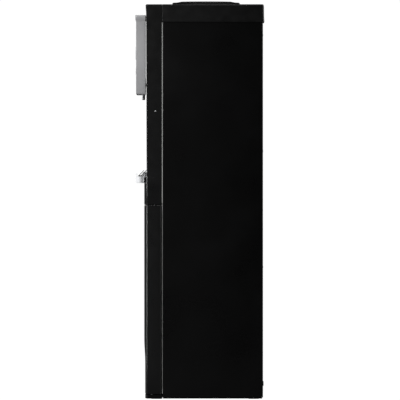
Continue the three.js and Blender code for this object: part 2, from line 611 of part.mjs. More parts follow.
function hotTank() {
  const centre = [0, HOT_TANK_Y];
  const can = (inset) => turned([[0, HOT_TANK_BOTTOM + inset], [HOT_TANK_RADIUS - 5, HOT_TANK_BOTTOM + inset],
    [HOT_TANK_RADIUS - inset, HOT_TANK_BOTTOM + 8], [HOT_TANK_RADIUS - inset, HOT_TANK_TOP - 8],
    [HOT_TANK_RADIUS - 5, HOT_TANK_TOP - inset], [0, HOT_TANK_TOP - inset]], centre);
  const outlet = [28, HOT_TANK_Y];
  return can(0).add(rod(5, [HOT_TANK_TOP - 1, HOT_TANK_TOP + 9], outlet))
    .add(rod(5, [HOT_TANK_BOTTOM - 9, HOT_TANK_BOTTOM + 1], centre))
    .subtract(can(1.5)).subtract(rod(3, [HOT_TANK_TOP - 5, HOT_TANK_TOP + 10], outlet))
    .subtract(rod(3, [HOT_TANK_BOTTOM - 10, HOT_TANK_BOTTOM + 5], centre));
}

function hotTankBracket() {
  const strap = block([-14, 14], [HOT_TANK_Y + 52, HOT_TANK_Y + 53.5], [486.4, 740]);
  return strap.add(ring(HOT_TANK_RADIUS + 1, HOT_TANK_RADIUS + 2.5, [655, 675], [0, HOT_TANK_Y]));
}

const hoses = {
  cold_hose: [[-35, -22, 782.4], [-35, -22, 777], [-37, -38, 771], [-43, -84, 771.5], [-45, -104, 784],
    [-45, -108, TAP_BARB_Z], [-45, -114.8, TAP_BARB_Z]],
  hot_hose: [[28, 50, 744.6], [28, 50, 751], [29, 36, 760], [34, -30, 769], [42, -84, 771.5], [45, -104, 784],
    [45, -108, TAP_BARB_Z], [45, -114.8, TAP_BARB_Z]],
  feed_hose: [[72, 60, 778], [72, 60, 740], [72, 52, 660], [66, 50, 622], [51, 50, 622]],
  drain_hose: [[0, 50, 590.4], [0, 50, 580], [0, 84, 545], [0, 92, 500], [0, 92, 280], [0, 108, DRAIN_Z],
    [0, 120.4, DRAIN_Z]],
};

function drainSpout() {
  return rodY(6.5, [121, 150], [0, DRAIN_Z]).subtract(rodY(4, [119, 152], [0, DRAIN_Z]));
}

function drainCap() {
  return rodY(10.5, [136, 155], [0, DRAIN_Z], 20).subtract(rodY(6.8, [130, 151], [0, DRAIN_Z], 20));
}

// Cooling: compressor, condenser, drier, switches, cord gland.

const COMPRESSOR_Y = 62;
const COIL_RUNS = 12;
const COIL_PITCH = 46;
const COIL_REACH = 118;
const COIL_FOOT = 240;         // height of the lowest run
const COIL_Y = 142;
const BAR_Z = [225, 765];
const DRIER = [108, 100];

function compressor() {
  const centre = [0, COMPRESSOR_Y];
  const can = turned([[0, 32], [52, 32], [60, 42], [61, 92], [64, 95], [64, 101], [61, 104], [56, 140],
    [38, 156], [0, 160]], centre);
  const inside = turned([[0, 60], [45, 60], [45, 138], [0, 142]], centre);
  const stub = [-30, COMPRESSOR_Y];
  return can.add(block([-70, 70], [COMPRESSOR_Y - 50, COMPRESSOR_Y + 50], [28, 33]))
    .add(rod(5, [150, 172], stub)).subtract(inside).subtract(rod(3, [130, 175], stub));
}

function compressorBase() {
  let base = block([-90, 90], [COMPRESSOR_Y - 60, COMPRESSOR_Y + 60], [BASE_TOP + GAP, 14]);
  for (const x of [-60, 60]) {
    for (const dy of [-40, 40]) base = base.add(rod(8, [13, 28 - GAP], [x, COMPRESSOR_Y + dy], 14));
  }
  return base;
}

function condenserCoil() {
  const points = [];
  const straight = [-COIL_REACH, -COIL_REACH / 2, COIL_REACH / 2, COIL_REACH];
  for (let i = 0; i < COIL_RUNS; i += 1) {
    const side = i % 2 === 0 ? 1 : -1;
    const z = COIL_FOOT + i * COIL_PITCH;
    for (const x of straight) points.push([side * x, COIL_Y, z]);
    if (i < COIL_RUNS - 1) points.push([side * (COIL_REACH + 17), COIL_Y, z + COIL_PITCH / 2]);
  }
  return pipe(points, 2.6, COIL_RUNS * 9, 5);
}

function condenserBar(x) {
  const across = [x - 6, x + 6];
  const depth = [BACK_PANEL_Y + SHEET + GAP, COIL_Y - 5];
  return block(across, [COIL_Y - 6, COIL_Y - 4], BAR_Z)
    .add(block(across, depth, [BAR_Z[0], BAR_Z[0] + 3]))
    .add(block(across, depth, [BAR_Z[1] - 3, BAR_Z[1]]));
}

const SWITCH_Z = 870;
const SWITCH_X = { hot_switch: -112, cold_switch: -84 };
const SWITCH_HALF_HEIGHT = 12;
const PLATE_X = [-134, -62];
const PLATE_HALF_HEIGHT = 26;

function switchPlate() {
  const face = BACK_PANEL_Y + SHEET + GAP;
  let plate = block(PLATE_X, [face, face + 9], [SWITCH_Z - PLATE_HALF_HEIGHT, SWITCH_Z + PLATE_HALF_HEIGHT]);
  for (const x of Object.values(SWITCH_X)) {
    const well = [SWITCH_Z - SWITCH_HALF_HEIGHT - 1, SWITCH_Z + SWITCH_HALF_HEIGHT + 1];
    plate = plate.subtract(block([x - 8, x + 8], [face + 1.5, face + 12], well));
  }
  return plate;
}

// A rocker turns about an X axis through its own middle.
function rocker(x) {
  const y = BACK_PANEL_Y + SHEET + GAP + 7;
  const low = SWITCH_Z - SWITCH_HALF_HEIGHT;
  const high = SWITCH_Z + SWITCH_HALF_HEIGHT;
  return run([[y - 3, low + 5], [y + 2, low], [y + 3.4, low], [y + 2.2, SWITCH_Z],
    [y + 3.4, high], [y + 2, high], [y - 3, high - 5]], [x - 7.4, x + 7.4]);
}

// Turned about Y: a neck through the upstand and a flange behind it.
function cordGland() {
  const profile = [[3.6, 0], [6, 0], [6, 4], [9, 4], [9, 6.5], [6, 6.5], [6, 8.5], [3.6, 8.5]];
  return turned(profile, [0, 0], 16).rotate([-90, 0, 0]);
}

// Assembly.

add(cabinet, 'base_pan', basePan(), 'blackSteel');
for (const [row, y] of [['front', -108], ['rear', 135]]) {
  add(cabinet, `foot_${row}_left`, foot(-125, y), 'rubber');
  add(cabinet, `foot_${row}_right`, foot(125, y), 'rubber');
}
add(cabinet, 'side_panel_left', sidePanel(-1), 'blackSteel');
add(cabinet, 'side_panel_right', sidePanel(1), 'blackSteel');
add(cabinet, 'top_cover', topCover(), 'blackPlastic');
add(cabinet, 'cross_member', crossMember(), 'galvanised');
add(cabinet, 'back_panel', backPanel(), 'galvanised');
add(cabinet, 'cabinet_liner', cabinetLiner(), 'whitePlastic');

add(front, 'upper_front_panel', upperFrontPanel(), 'blackPlastic');
add(front, 'alcove_liner', alcoveLiner(), 'blackPlastic');
add(front, 'control_fascia', controlFascia(), 'silver');
add(front, 'hot_button', dispenseButton(TAP_X), 'red');
add(front, 'cold_button', dispenseButton(-TAP_X), 'blue');
add(front, 'child_lock_slider', lockSlider(), 'red');
add(front, 'control_board', controlBoard(), 'board');
for (const [i, x] of LIGHTS.entries()) {
  add(front, `light_pipe_${i + 1}`, rodY(2, [-159, -148.4], [x, LIGHT_Z], 12), 'silicone');
}
add(front, 'drip_tray', dripTray(), 'chrome');
add(front, 'drip_grille', dripGrille(), 'blackPlastic');

add(front, 'door_shell', doorShell(), 'blackPlastic');
add(front, 'door_inner_panel', doorInnerPanel(), 'whitePlastic');
add(front, 'door_gasket', frameRing([-136, 136], [24, 470], 9, [-94, -92.2]), 'rubber');
add(front, 'door_catch_magnet', block([-150, -140], [-101, -97], [230, 262]), 'rubber');
add(front, 'hinge_pin_lower', rod(HINGE_PIN_RADIUS, [5, 26], [HINGE_X, HINGE_Y]), 'stainless');
add(front, 'hinge_pin_upper', rod(HINGE_PIN_RADIUS, [470, 491], [HINGE_X, HINGE_Y]), 'stainless');

for (const [name, x] of [['hot', TAP_X], ['cold', -TAP_X]]) {
  add(waterSystem, `${name}_tap`, tap(x), 'whitePlastic');
  add(waterSystem, `${name}_nozzle`, nozzle(x), 'chrome');
}
add(waterSystem, 'bottle_seat', bottleSeat(), 'blackPlastic');
add(waterSystem, 'seat_gasket', ring(79.6, 83.8, [985.7, 987.1], [0, SEAT_Y]), 'silicone');
add(waterSystem, 'feed_probe', feedProbe(), 'whitePlastic');
add(waterSystem, 'cold_tank', coldTank(), 'stainless');
add(waterSystem, 'tank_lid', tankLid(), 'whitePlastic');
add(waterSystem, 'tank_baffle', tankBaffle(), 'whitePlastic');
add(waterSystem, 'tank_insulation', tankInsulation(), 'foam');
add(waterSystem, 'hot_tank', hotTank(), 'stainless');
add(waterSystem, 'hot_tank_bracket', hotTankBracket(), 'galvanised');
for (const [name, route] of Object.entries(hoses)) {
  add(waterSystem, name, pipe(route, 4.5, route.length * 3), 'silicone');
}
add(waterSystem, 'drain_spout', drainSpout(), 'whitePlastic');
add(waterSystem, 'drain_cap', drainCap(), 'blackPlastic');

add(coolingSystem, 'evaporator_coil', evaporatorCoil(), 'copper');
add(coolingSystem, 'compressor', compressor(), 'blackSteel');
add(coolingSystem, 'compressor_base', compressorBase(), 'galvanised');
const relayDepth = [COMPRESSOR_Y - 22, COMPRESSOR_Y + 22];
add(coolingSystem, 'relay_cover', block([66, 88], relayDepth, [60, 108]), 'blackPlastic');
add(coolingSystem, 'condenser_coil', condenserCoil(), 'blackSteel');
add(coolingSystem, 'condenser_bar_left', condenserBar(-70), 'blackSteel');
add(coolingSystem, 'condenser_bar_right', condenserBar(70), 'blackSteel');
add(coolingSystem, 'filter_drier', rod(9, [190, 275], DRIER), 'copper');
add(coolingSystem, 'switch_plate', switchPlate(), 'blackPlastic');
add(coolingSystem, 'hot_switch', rocker(SWITCH_X.hot_switch), 'red');
add(coolingSystem, 'cold_switch', rocker(SWITCH_X.cold_switch), 'green');
add(coolingSystem, 'cord_gland', cordGland(), 'rubber').position.set(GLAND_X, REAR_Y - 6.1, GLAND_Z);

export default dispenser;
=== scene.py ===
import json
import math

import bmesh
import bpy
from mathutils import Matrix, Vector


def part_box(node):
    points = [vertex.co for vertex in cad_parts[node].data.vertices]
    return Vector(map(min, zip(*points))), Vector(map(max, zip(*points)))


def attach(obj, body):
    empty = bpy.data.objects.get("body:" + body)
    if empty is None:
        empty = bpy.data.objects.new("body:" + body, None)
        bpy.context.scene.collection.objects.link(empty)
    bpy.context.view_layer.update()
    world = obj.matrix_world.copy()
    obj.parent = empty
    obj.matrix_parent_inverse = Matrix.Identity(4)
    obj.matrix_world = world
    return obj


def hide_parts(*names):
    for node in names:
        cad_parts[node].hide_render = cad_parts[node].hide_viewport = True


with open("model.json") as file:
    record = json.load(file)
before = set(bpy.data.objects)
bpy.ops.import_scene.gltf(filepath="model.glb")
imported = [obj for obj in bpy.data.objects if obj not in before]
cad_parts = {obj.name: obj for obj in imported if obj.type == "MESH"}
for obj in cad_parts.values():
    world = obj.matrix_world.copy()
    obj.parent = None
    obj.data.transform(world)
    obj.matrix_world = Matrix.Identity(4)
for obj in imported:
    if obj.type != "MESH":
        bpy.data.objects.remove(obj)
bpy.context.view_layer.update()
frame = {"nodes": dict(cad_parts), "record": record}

MM = 0.001
SLOT_OF = {row["node"]: row["material_slot"] for row in frame["record"]["subparts"]}


# ---- materials

COOL = (0.97, 1.0, 1.05)


def rgba(colour, tint=(1.0, 1.0, 1.0)):
    """A colour with its alpha. A single number is a grey, which may be tinted."""
    if isinstance(colour, tuple):
        return (*colour, 1.0)
    return (*(colour * t for t in tint), 1.0)


class Graph:
    """A node material being built, with one Principled shader."""

    def __init__(self, name):
        self.material = bpy.data.materials.new(name)
        self.material.use_nodes = True
        self.tree = self.material.node_tree
        self.tree.nodes.clear()
        out = self.tree.nodes.new("ShaderNodeOutputMaterial")
        self.shader = self.tree.nodes.new("ShaderNodeBsdfPrincipled")
        self.tree.links.new(self.shader.outputs["BSDF"], out.inputs["Surface"])
        self.place = self.tree.nodes.new("ShaderNodeTexCoord").outputs["Object"]

    def feed(self, socket, value):
        """Links another node's output to the socket, or sets a constant on it."""
        if isinstance(value, bpy.types.NodeSocket):
            self.tree.links.new(value, socket)
        else:
            socket.default_value = value

    def node(self, kind, values=(), **settings):
        made = self.tree.nodes.new("ShaderNode" + kind)
        for key, value in settings.items():
            setattr(made, key, value)
        for key, value in dict(values).items():
            self.feed(made.inputs[key], value)
        return made

    def stretched(self, scale):
        return self.node("Mapping", {"Vector": self.place, "Scale": scale}).outputs[0]

    def noise(self, scale, detail=3.0, roughness=0.5, vector=None):
        values = {"Vector": vector or self.place, "Scale": scale, "Detail": detail, "Roughness": roughness}
        return self.node("TexNoise", values).outputs["Fac"]

    def cells(self, scale, feature="F1", output="Distance"):
        made = self.node("TexVoronoi", {"Vector": self.place, "Scale": scale}, feature=feature)
        return made.outputs[output]

    def span(self, value, low, high, start=0.3, stop=0.7):
        """Runs from low to high as the value goes from start to stop."""
        values = {"Value": value, "From Min": start, "From Max": stop, "To Min": low, "To Max": high}
        return self.node("MapRange", values).outputs[0]

    def math(self, operation, a, b, clamped=False):
        return self.node("Math", {0: a, 1: b}, operation=operation, use_clamp=clamped).outputs[0]

    def mix(self, factor, a, b):
        return self.node("Mix", {0: factor, 6: a, 7: b}, data_type="RGBA").outputs[2]

    def red(self, colour):
        return self.node("SeparateColor", {"Color": colour}).outputs[0]

    def bump(self, height, strength, distance, normal=None):
        values = {"Height": height, "Strength": strength, "Distance": distance}
        if normal is not None:
            values["Normal"] = normal
        return self.node("Bump", values).outputs[0]

    def edge_mask(self, radius, gain=4.0):
        """0 on flat stretches and up to 1 along edges."""
        softened = self.node("Bevel", {"Radius": radius}, samples=3).outputs[0]
        flat = self.node("NewGeometry").outputs["Normal"]
        dot = self.node("VectorMath", {0: softened, 1: flat}, operation="DOT_PRODUCT").outputs["Value"]
        return self.math("MULTIPLY", self.math("SUBTRACT", 1.0, dot), gain, clamped=True)

    def set(self, **values):
        for key, value in values.items():
            self.feed(self.shader.inputs[key.replace("_", " ")], value)
        return self.material


def powder_coat():
    """Baked powder paint: a soft orange peel, faint cloudy variation and thin paint along the edges."""
    g = Graph("black_powder_coat")
    clouds = g.noise(7.0, 4.0)
    base = g.mix(g.span(clouds, 0.0, 1.0), rgba(0.001), rgba(0.0017, COOL))
    worn = g.math("MULTIPLY", g.edge_mask(0.0009), g.span(g.noise(60.0, 4.0), 0.0, 0.6))
    peel, grain = g.noise(520.0, 2.0, 0.4), g.noise(2600.0, 2.0)
    return g.set(Base_Color=g.mix(worn, base, rgba(0.00595)), Roughness=g.span(clouds, 0.25, 0.35),
                 Normal=g.bump(peel, 0.22, 0.00012, g.bump(grain, 0.12, 0.00003)), Specular_IOR_Level=0.25)


def moulded(name, dark, light, roughness, texture=1500.0, strength=0.25, specular=0.45, polish=0.0):
    """Injection-moulded plastic with a spark-eroded texture and faint flow marks."""
    g = Graph(name)
    flow = g.noise(5.0, 3.0, vector=g.stretched((1.0, 1.0, 0.25)))
    fine = g.bump(g.noise(texture * 0.4, 2.0), strength * 0.6, 0.00006)
    return g.set(Base_Color=g.mix(g.span(flow, 0.0, 1.0), rgba(dark), rgba(light, COOL)),
                 Roughness=g.span(g.noise(38.0, 5.0), roughness - 0.04, roughness + 0.06),
                 Normal=g.bump(g.cells(texture, "SMOOTH_F1"), strength, 0.00005, fine),
                 Specular_IOR_Level=specular, Coat_Weight=polish, Coat_Roughness=0.12)


def coloured(name, dark, light):
    """The polished plastic of buttons and rockers."""
    return moulded(name, dark, light, 0.26, 900.0, 0.08, polish=0.3)


def silver_paint():
    """Satin silver lacquer: fine flakes, faint mottling and thinner paint on the edges."""
    g = Graph("satin_silver_paint")
    sparkle = g.red(g.cells(3200.0, "F1", "Color"))
    base = g.mix(g.span(g.noise(9.0, 4.0), 0.0, 1.0), rgba((0.5, 0.5, 0.515)), rgba((0.58, 0.58, 0.59)))
    base = g.mix(g.span(sparkle, 0.0, 0.22, 0.6, 1.0), base, rgba((0.78, 0.79, 0.82)))
    base = g.mix(g.math("MULTIPLY", g.edge_mask(0.0008), 0.35), base, rgba((0.74, 0.74, 0.76)))
    return g.set(Base_Color=base, Metallic=0.35, Roughness=g.span(sparkle, 0.36, 0.48, 0.0, 1.0),
                 Normal=g.bump(g.noise(700.0, 2.0), 0.1, 0.00006), Coat_Weight=0.25, Coat_Roughness=0.2,
                 Specular_IOR_Level=0.5)


def chrome_plate():
    """Satin plating with faint wipe marks and a slightly wavy base."""
    g = Graph("chrome_plate")
    wipes = g.noise(90.0, 5.0, vector=g.stretched((1.0, 3.0, 0.4)))
    base = g.mix(g.span(wipes, 0.0, 1.0), rgba((0.74, 0.75, 0.78)), rgba((0.84, 0.85, 0.87)))
    return g.set(Base_Color=base, Metallic=1.0, Roughness=g.span(wipes, 0.2, 0.3),
                 Normal=g.bump(g.noise(120.0, 2.0), 0.05, 0.0001))


def galvanised_sheet():
    """Zinc spangle: flat crystals that differ in tone and gloss."""
    g = Graph("galvanised_sheet")
    crystal = g.red(g.cells(170.0, "F1", "Color"))
    base = g.mix(crystal, rgba((0.36, 0.37, 0.385)), rgba((0.5, 0.51, 0.52)))
    base = g.mix(g.span(g.noise(14.0, 5.0), 0.0, 0.35), base, rgba((0.55, 0.55, 0.54)))
    return g.set(Base_Color=base, Metallic=0.85, Roughness=g.span(crystal, 0.36, 0.52, 0.0, 1.0),
                 Normal=g.bump(crystal, 0.05, 0.00005))


def brushed_steel():
    """Stainless steel brushed in one direction, with streaks in tone and relief."""
    g = Graph("brushed_stainless")
    streaks = g.noise(1.0, 4.0, 0.6, g.stretched((40.0, 40.0, 2200.0)))
    base = g.mix(g.span(streaks, 0.0, 1.0), rgba((0.5, 0.51, 0.52)), rgba((0.64, 0.65, 0.66)))
    return g.set(Base_Color=base, Metallic=0.95, Roughness=g.span(streaks, 0.23, 0.38),
                 Normal=g.bump(streaks, 0.12, 0.00003), Anisotropic=0.35)


def copper_tube():
    """Drawn copper with dark tarnish in patches."""
    g = Graph("copper_tube")
    tarnish = g.noise(45.0, 6.0, 0.6)
    base = g.mix(g.span(tarnish, 0.0, 1.0, 0.4, 0.65), rgba((0.62, 0.27, 0.13)), rgba((0.24, 0.1, 0.055)))
    return g.set(Base_Color=base, Metallic=0.95, Roughness=g.span(tarnish, 0.26, 0.5),
                 Normal=g.bump(g.noise(300.0, 3.0), 0.08, 0.00005))


def soft_rubber():
    """Black rubber with a faint bloom."""
    g = Graph("black_rubber")
    bloom = g.noise(55.0, 5.0)
    return g.set(Base_Color=g.mix(g.span(bloom, 0.0, 1.0), rgba(0.008), rgba(0.018)),
                 Roughness=g.span(bloom, 0.67, 0.83), Normal=g.bump(g.noise(1400.0, 2.0), 0.3, 0.00005),
                 Specular_IOR_Level=0.3)


def silicone_hose():
    """Milky silicone, a little hazy in places."""
    g = Graph("clear_silicone")
    haze = g.noise(80.0, 3.0)
    base = g.mix(g.span(haze, 0.0, 1.0), rgba((0.56, 0.58, 0.59)), rgba((0.68, 0.7, 0.71)))
    return g.set(Base_Color=base, Roughness=g.span(haze, 0.3, 0.45), Subsurface_Weight=0.2,
                 Subsurface_Radius=(0.004, 0.004, 0.004), Normal=g.bump(g.noise(500.0, 2.0), 0.1, 0.00004))


def bead_foam():
    """Expanded polystyrene: pressed beads with dark joints."""
    g = Graph("bead_foam")
    joints = g.cells(330.0, "DISTANCE_TO_EDGE")
    base = g.mix(g.span(joints, 0.0, 1.0, 0.0, 0.12), rgba((0.6, 0.6, 0.57)), rgba((0.82, 0.82, 0.79)))
    return g.set(Base_Color=base, Roughness=g.span(joints, 0.95, 0.8, 0.0, 0.2),
                 Normal=g.bump(joints, 0.5, 0.0006))


def circuit_board():
    """Green laminate with copper tracks under the mask."""
    g = Graph("circuit_board")
    tracks = g.node("TexBrick", {"Vector": g.stretched((1.0, 1.0, 1.0)), "Scale": 160.0, "Mortar Size": 0.08,
                                 "Color1": rgba((0.008, 0.09, 0.035)), "Color2": rgba((0.01, 0.11, 0.04)),
                                 "Mortar": rgba((0.03, 0.2, 0.07))}).outputs
    return g.set(Base_Color=tracks["Color"], Roughness=g.span(g.noise(60.0), 0.3, 0.45),
                 Normal=g.bump(tracks["Fac"], 0.2, 0.0001))


MATERIALS = {
    "black_steel": powder_coat(),
    "black_plastic": moulded("black_moulding", 0.0026, 0.0042, 0.3, 1500.0, 0.2, 0.4),
    "gloss_black": moulded("gloss_black_moulding", 0.004, 0.006, 0.2, 900.0, 0.08, 0.5, polish=0.4),
    "silver_plastic": silver_paint(),
    "chrome": chrome_plate(),
    "galvanised": galvanised_sheet(),
    "stainless": brushed_steel(),
    "copper": copper_tube(),
    "rubber": soft_rubber(),
    "silicone": silicone_hose(),
    "white_plastic": moulded("off_white_moulding", (0.62, 0.63, 0.61), (0.72, 0.73, 0.71),
                             0.42, 1300.0, 0.15),
    "foam": bead_foam(),
    "red_plastic": coloured("red_moulding", (0.36, 0.012, 0.01), (0.46, 0.02, 0.015)),
    "blue_plastic": coloured("blue_moulding", (0.008, 0.05, 0.26), (0.012, 0.08, 0.36)),
    "green_plastic": coloured("green_moulding", (0.008, 0.17, 0.045), (0.01, 0.24, 0.06)),
    "board": circuit_board(),
}


# ---- shapes, in millimetres

def rounded(points, radius, steps=6):
    """The closed outline with its corners rounded: radius is one number, or one for each point."""
    radii = radius if isinstance(radius, (list, tuple)) else [radius] * len(points)
    outline = []
    for i, point in enumerate(points):
        here = Vector(point)
        to_last = (Vector(points[i - 1]) - here).normalized()
        to_next = (Vector(points[(i + 1) % len(points)]) - here).normalized()
        half = to_last.angle(to_next) / 2
        if radii[i] <= 0 or half > 1.56:
            outline.append(tuple(here))
            continue
        centre = here + (to_last + to_next).normalized() * radii[i] / math.sin(half)
        start = here + to_last * radii[i] / math.tan(half) - centre
        end = here + to_next * radii[i] / math.tan(half) - centre
        sweep = start.angle_signed(end)
        for k in range(steps + 1):
            turn = -sweep * k / steps
            outline.append((centre.x + start.x * math.cos(turn) - start.y * math.sin(turn),
                            centre.y + start.x * math.sin(turn) + start.y * math.cos(turn)))
    return outline


def rectangle(x0, x1, y0, y1, radius=0, steps=6):
    return rounded([(x0, y0), (x1, y0), (x1, y1), (x0, y1)], radius, steps)


def bowed(half_width, corner_y, bulge, rear_y, radius, spans=40, steps=8):
    """A plan outline: bowed front, rounded front corners, straight rear."""
    flat = half_width - radius

    def corner(side, start):
        turns = [start + (math.pi / 2) * k / steps for k in range(steps + 1)]
        return [(side * flat + radius * math.cos(turn), corner_y + radius + radius * math.sin(turn))
                for turn in turns]

    places = [-1 + 2 * i / spans for i in range(1, spans)]
    front = [(t * flat, corner_y - bulge * (1 - t * t)) for t in places]
    rounds = corner(-1, math.pi), corner(1, 1.5 * math.pi)
    return [(-half_width, rear_y), *rounds[0], *front, *rounds[1], (half_width, rear_y)]


def in_scene(name, mesh):
    made = bpy.data.objects.new(name, mesh)
    bpy.context.scene.collection.objects.link(made)
    return made


def solid(name, vertices, faces, merge=False):
    mesh = bpy.data.meshes.new(name)
    mesh.from_pydata([Vector(point) * MM for point in vertices], [], faces)
    work = bmesh.new()
    work.from_mesh(mesh)
    if merge:
        bmesh.ops.remove_doubles(work, verts=work.verts, dist=1e-7)
    bmesh.ops.recalc_face_normals(work, faces=work.faces)
    work.to_mesh(mesh)
    work.free()
    return in_scene(name, mesh)


def loft(name, rings):
    """A closed solid through rings of as many points each."""
    count = len(rings[0])
    faces = [list(range(count)), list(range((len(rings) - 1) * count, len(rings) * count))]
    for level in range(len(rings) - 1):
        for i in range(count):
            a, b = level * count + i, level * count + (i + 1) % count
            faces.append([a, b, b + count, a + count])
    return solid(name, [point for ring in rings for point in ring], faces)


def prism(name, outline, z0, z1):
    return loft(name, [[(x, y, z) for x, y in outline] for z in (z0, z1)])


def along_x(name, outline, x0, x1):
    """An outline in Y and Z, run along X."""
    return loft(name, [[(x, y, z) for y, z in outline] for x in (x0, x1)])


def along_y(name, outline, y0, y1):
    """An outline in X and Z, run along Y."""
    return loft(name, [[(x, y, z) for x, z in outline] for y in (y0, y1)])


def block(name, x0, x1, y0, y1, z0, z1):
    return prism(name, rectangle(*sorted((x0, x1)), y0, y1), z0, z1)


def revolve(name, profile, centre, sides=96, axis="Z"):
    """A closed profile of radius and height, turned about an axis through centre."""
    vertices = []
    for i in range(sides):
        turn = 2 * math.pi * i / sides
        for radius, height in profile:
            a, b = radius * math.cos(turn), radius * math.sin(turn)
            local = {"X": (height, a, b), "Y": (a, height, b), "Z": (a, b, height)}[axis]
            vertices.append([c + o for c, o in zip(local, centre)])
    count = len(profile)
    faces = []
    for i in range(sides):
        here, there = i * count, ((i + 1) % sides) * count
        for k in range(count):
            after = (k + 1) % count
            if profile[k][0] > 0 or profile[after][0] > 0:
                faces.append([here + k, here + after, there + after, there + k])
    return solid(name, vertices, faces, merge=True)


def rod(name, radius, centre, start, end, axis="Z", sides=32):
    """A plain round bar or hole cutter along one axis, from start to end."""
    a, b = centre
    place = {"X": (0, a, b), "Y": (a, 0, b), "Z": (a, b, 0)}[axis]
    return revolve(name, [(0, start), (radius, start), (radius, end), (0, end)], place, sides, axis)


def tube(name, points, radius, sides=12, smooth=8):
    """A round bar along a smooth path through the points."""
    path = [Vector(p) for p in points]
    last = len(path) - 1
    fine = []
    for i in range(last):
        p0, p1, p2, p3 = (path[max(0, min(k, last))] for k in (i - 1, i, i + 1, i + 2))
        for k in range(smooth):
            t = k / smooth
            fine.append(0.5 * ((2 * p1) + (p2 - p0) * t + (2 * p0 - 5 * p1 + 4 * p2 - p3) * t * t
                               + (3 * p1 - p0 - 3 * p2 + p3) * t ** 3))
    fine.append(path[-1])
    turns = [2 * math.pi * k / sides for k in range(sides)]
    rings = []
    side = None
    for i, point in enumerate(fine):
        forward = (fine[min(i + 1, len(fine) - 1)] - fine[max(i - 1, 0)]).normalized()
        if side is None:
            side = forward.orthogonal().normalized()
        side = (side - forward * side.dot(forward)).normalized()
        up = forward.cross(side)
        rings.append([point + radius * (math.cos(turn) * side + math.sin(turn) * up) for turn in turns])
    return loft(name, rings)


def combined(target, tools, operation):
    for tool in tools:
        change = target.modifiers.new("change", "BOOLEAN")
        change.operation, change.solver, change.object = operation, "EXACT", tool
        graph = bpy.context.evaluated_depsgraph_get()
        mesh = bpy.data.meshes.new_from_object(target.evaluated_get(graph))
        target.modifiers.clear()
        old = target.data
        target.data = mesh
        bpy.data.meshes.remove(old)
        bpy.data.objects.remove(tool)
    return target


def cut(target, *tools):
    return combined(target, tools, "DIFFERENCE")


def fuse(target, *tools):
    return combined(target, tools, "UNION")


def joined(name, parts):
    """One object from several that don't touch."""
    work = bmesh.new()
    for part in parts:
        work.from_mesh(part.data)
        bpy.data.objects.remove(part)
    mesh = bpy.data.meshes.new(name)
    work.to_mesh(mesh)
    work.free()
    return in_scene(name, mesh)


def edge_radii(obj, width, segments, angle):
    """Small radii on the edges that turn by more than the angle."""
    bevel = obj.modifiers.new("edge_radii", "BEVEL")
    bevel.width = width * MM
    bevel.segments = segments
    bevel.limit_method = "ANGLE"
    bevel.angle_limit = math.radians(angle)
    return bevel


def done(obj, slot, *nodes, body="cabinet", edge=0.5, segments=2, angle=28, material=None):
    """Gives a piece its finish, its body and the CAD nodes that it stands for."""
    for polygon in obj.data.polygons:
        polygon.use_smooth = True
    edge_radii(obj, edge, segments, angle).harden_normals = True
    obj.data.materials.clear()
    obj.data.materials.append(material or MATERIALS[slot])
    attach(obj, body)
    if nodes:
        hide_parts(*nodes)


def low_high(node):
    """The two corners of a CAD node's box."""
    low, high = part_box(node)
    return [c / MM for c in low], [c / MM for c in high]


def middle(node):
    return [(a + b) / 2 for a, b in zip(*low_high(node))]


def facing(box, inset, radius):
    """A box's outline in X and Z, made smaller all round by the inset."""
    low, high = box
    return rectangle(low[0] + inset, high[0] - inset, low[2] + inset, high[2] - inset, radius)


def ease(z, start, end, low, high):
    """Eases from low to high as z goes from start to end."""
    t = min(1.0, max(0.0, (z - start) / (end - start)))
    return low + (high - low) * t * t * (3 - 2 * t)


# ---- camera, light and floor

CAMERA_DISTANCE = 44.0
CAMERA_AIM = (0.00075, 0.4975)     # Y and Z of the picture's centre
FRAME_HEIGHT = 1.0                 # metres across the frame at the near side
SENSOR = 36.0
WHITE = rgba((1.0, 1.0, 1.0))

# place, target, width, height and power of each softbox
SOFTBOXES = {
    "front_softbox": ((0.3, -2.8, 1.1), (0.0, 0.0, 0.6), 1.4, 1.4, 16.0),
    "side_softbox": ((2.6, -2.2, 2.0), (0.0, -0.1, 0.7), 1.5, 1.5, 70.0),
    "edge_strip": ((0.55, -2.8, 0.5), (0.1, 0.0, 0.5), 0.4, 0.6, 40.0),
    "tray_card": ((-2.9, -0.75, 0.55), (0.0, -0.15, 0.55), 2.2, 1.2, 10.0),
    "camera_card": ((9.0, -0.5, 0.7), (0.0, -0.15, 0.7), 1.2, 2.0, 2.0),
    "overhead": ((0.3, 0.2, 2.9), (0.0, 0.0, 0.6), 1.8, 1.8, 24.0),
    "rear_fill": ((1.2, 3.2, 1.6), (0.0, 0.1, 0.6), 1.6, 1.6, 60.0),
}
# The softboxes that light only the pieces put in their collection, to bring out pale edges.
RECEIVERS = {name: bpy.data.collections.new(name + "_receivers") for name in ("edge_strip", "tray_card")}


def camera():
    near_side = low_high("side_panel_right")[1][0] * MM
    data = bpy.data.cameras.new("camera")
    data.sensor_width = SENSOR
    data.lens = SENSOR * (CAMERA_DISTANCE - near_side) / FRAME_HEIGHT
    data.clip_end = 200.0
    made = in_scene("camera", data)
    made.location = (CAMERA_DISTANCE, *CAMERA_AIM)
    made.rotation_euler = (math.pi / 2, 0, math.pi / 2)
    bpy.context.scene.camera = made


def only_camera_rays(tree, strength):
    """A strength that only rays from the camera see."""
    path = tree.nodes.new("ShaderNodeLightPath")
    scaled = tree.nodes.new("ShaderNodeMath")
    scaled.operation = "MULTIPLY"
    scaled.inputs[1].default_value = strength
    tree.links.new(path.outputs["Is Camera Ray"], scaled.inputs[0])
    return scaled.outputs[0]


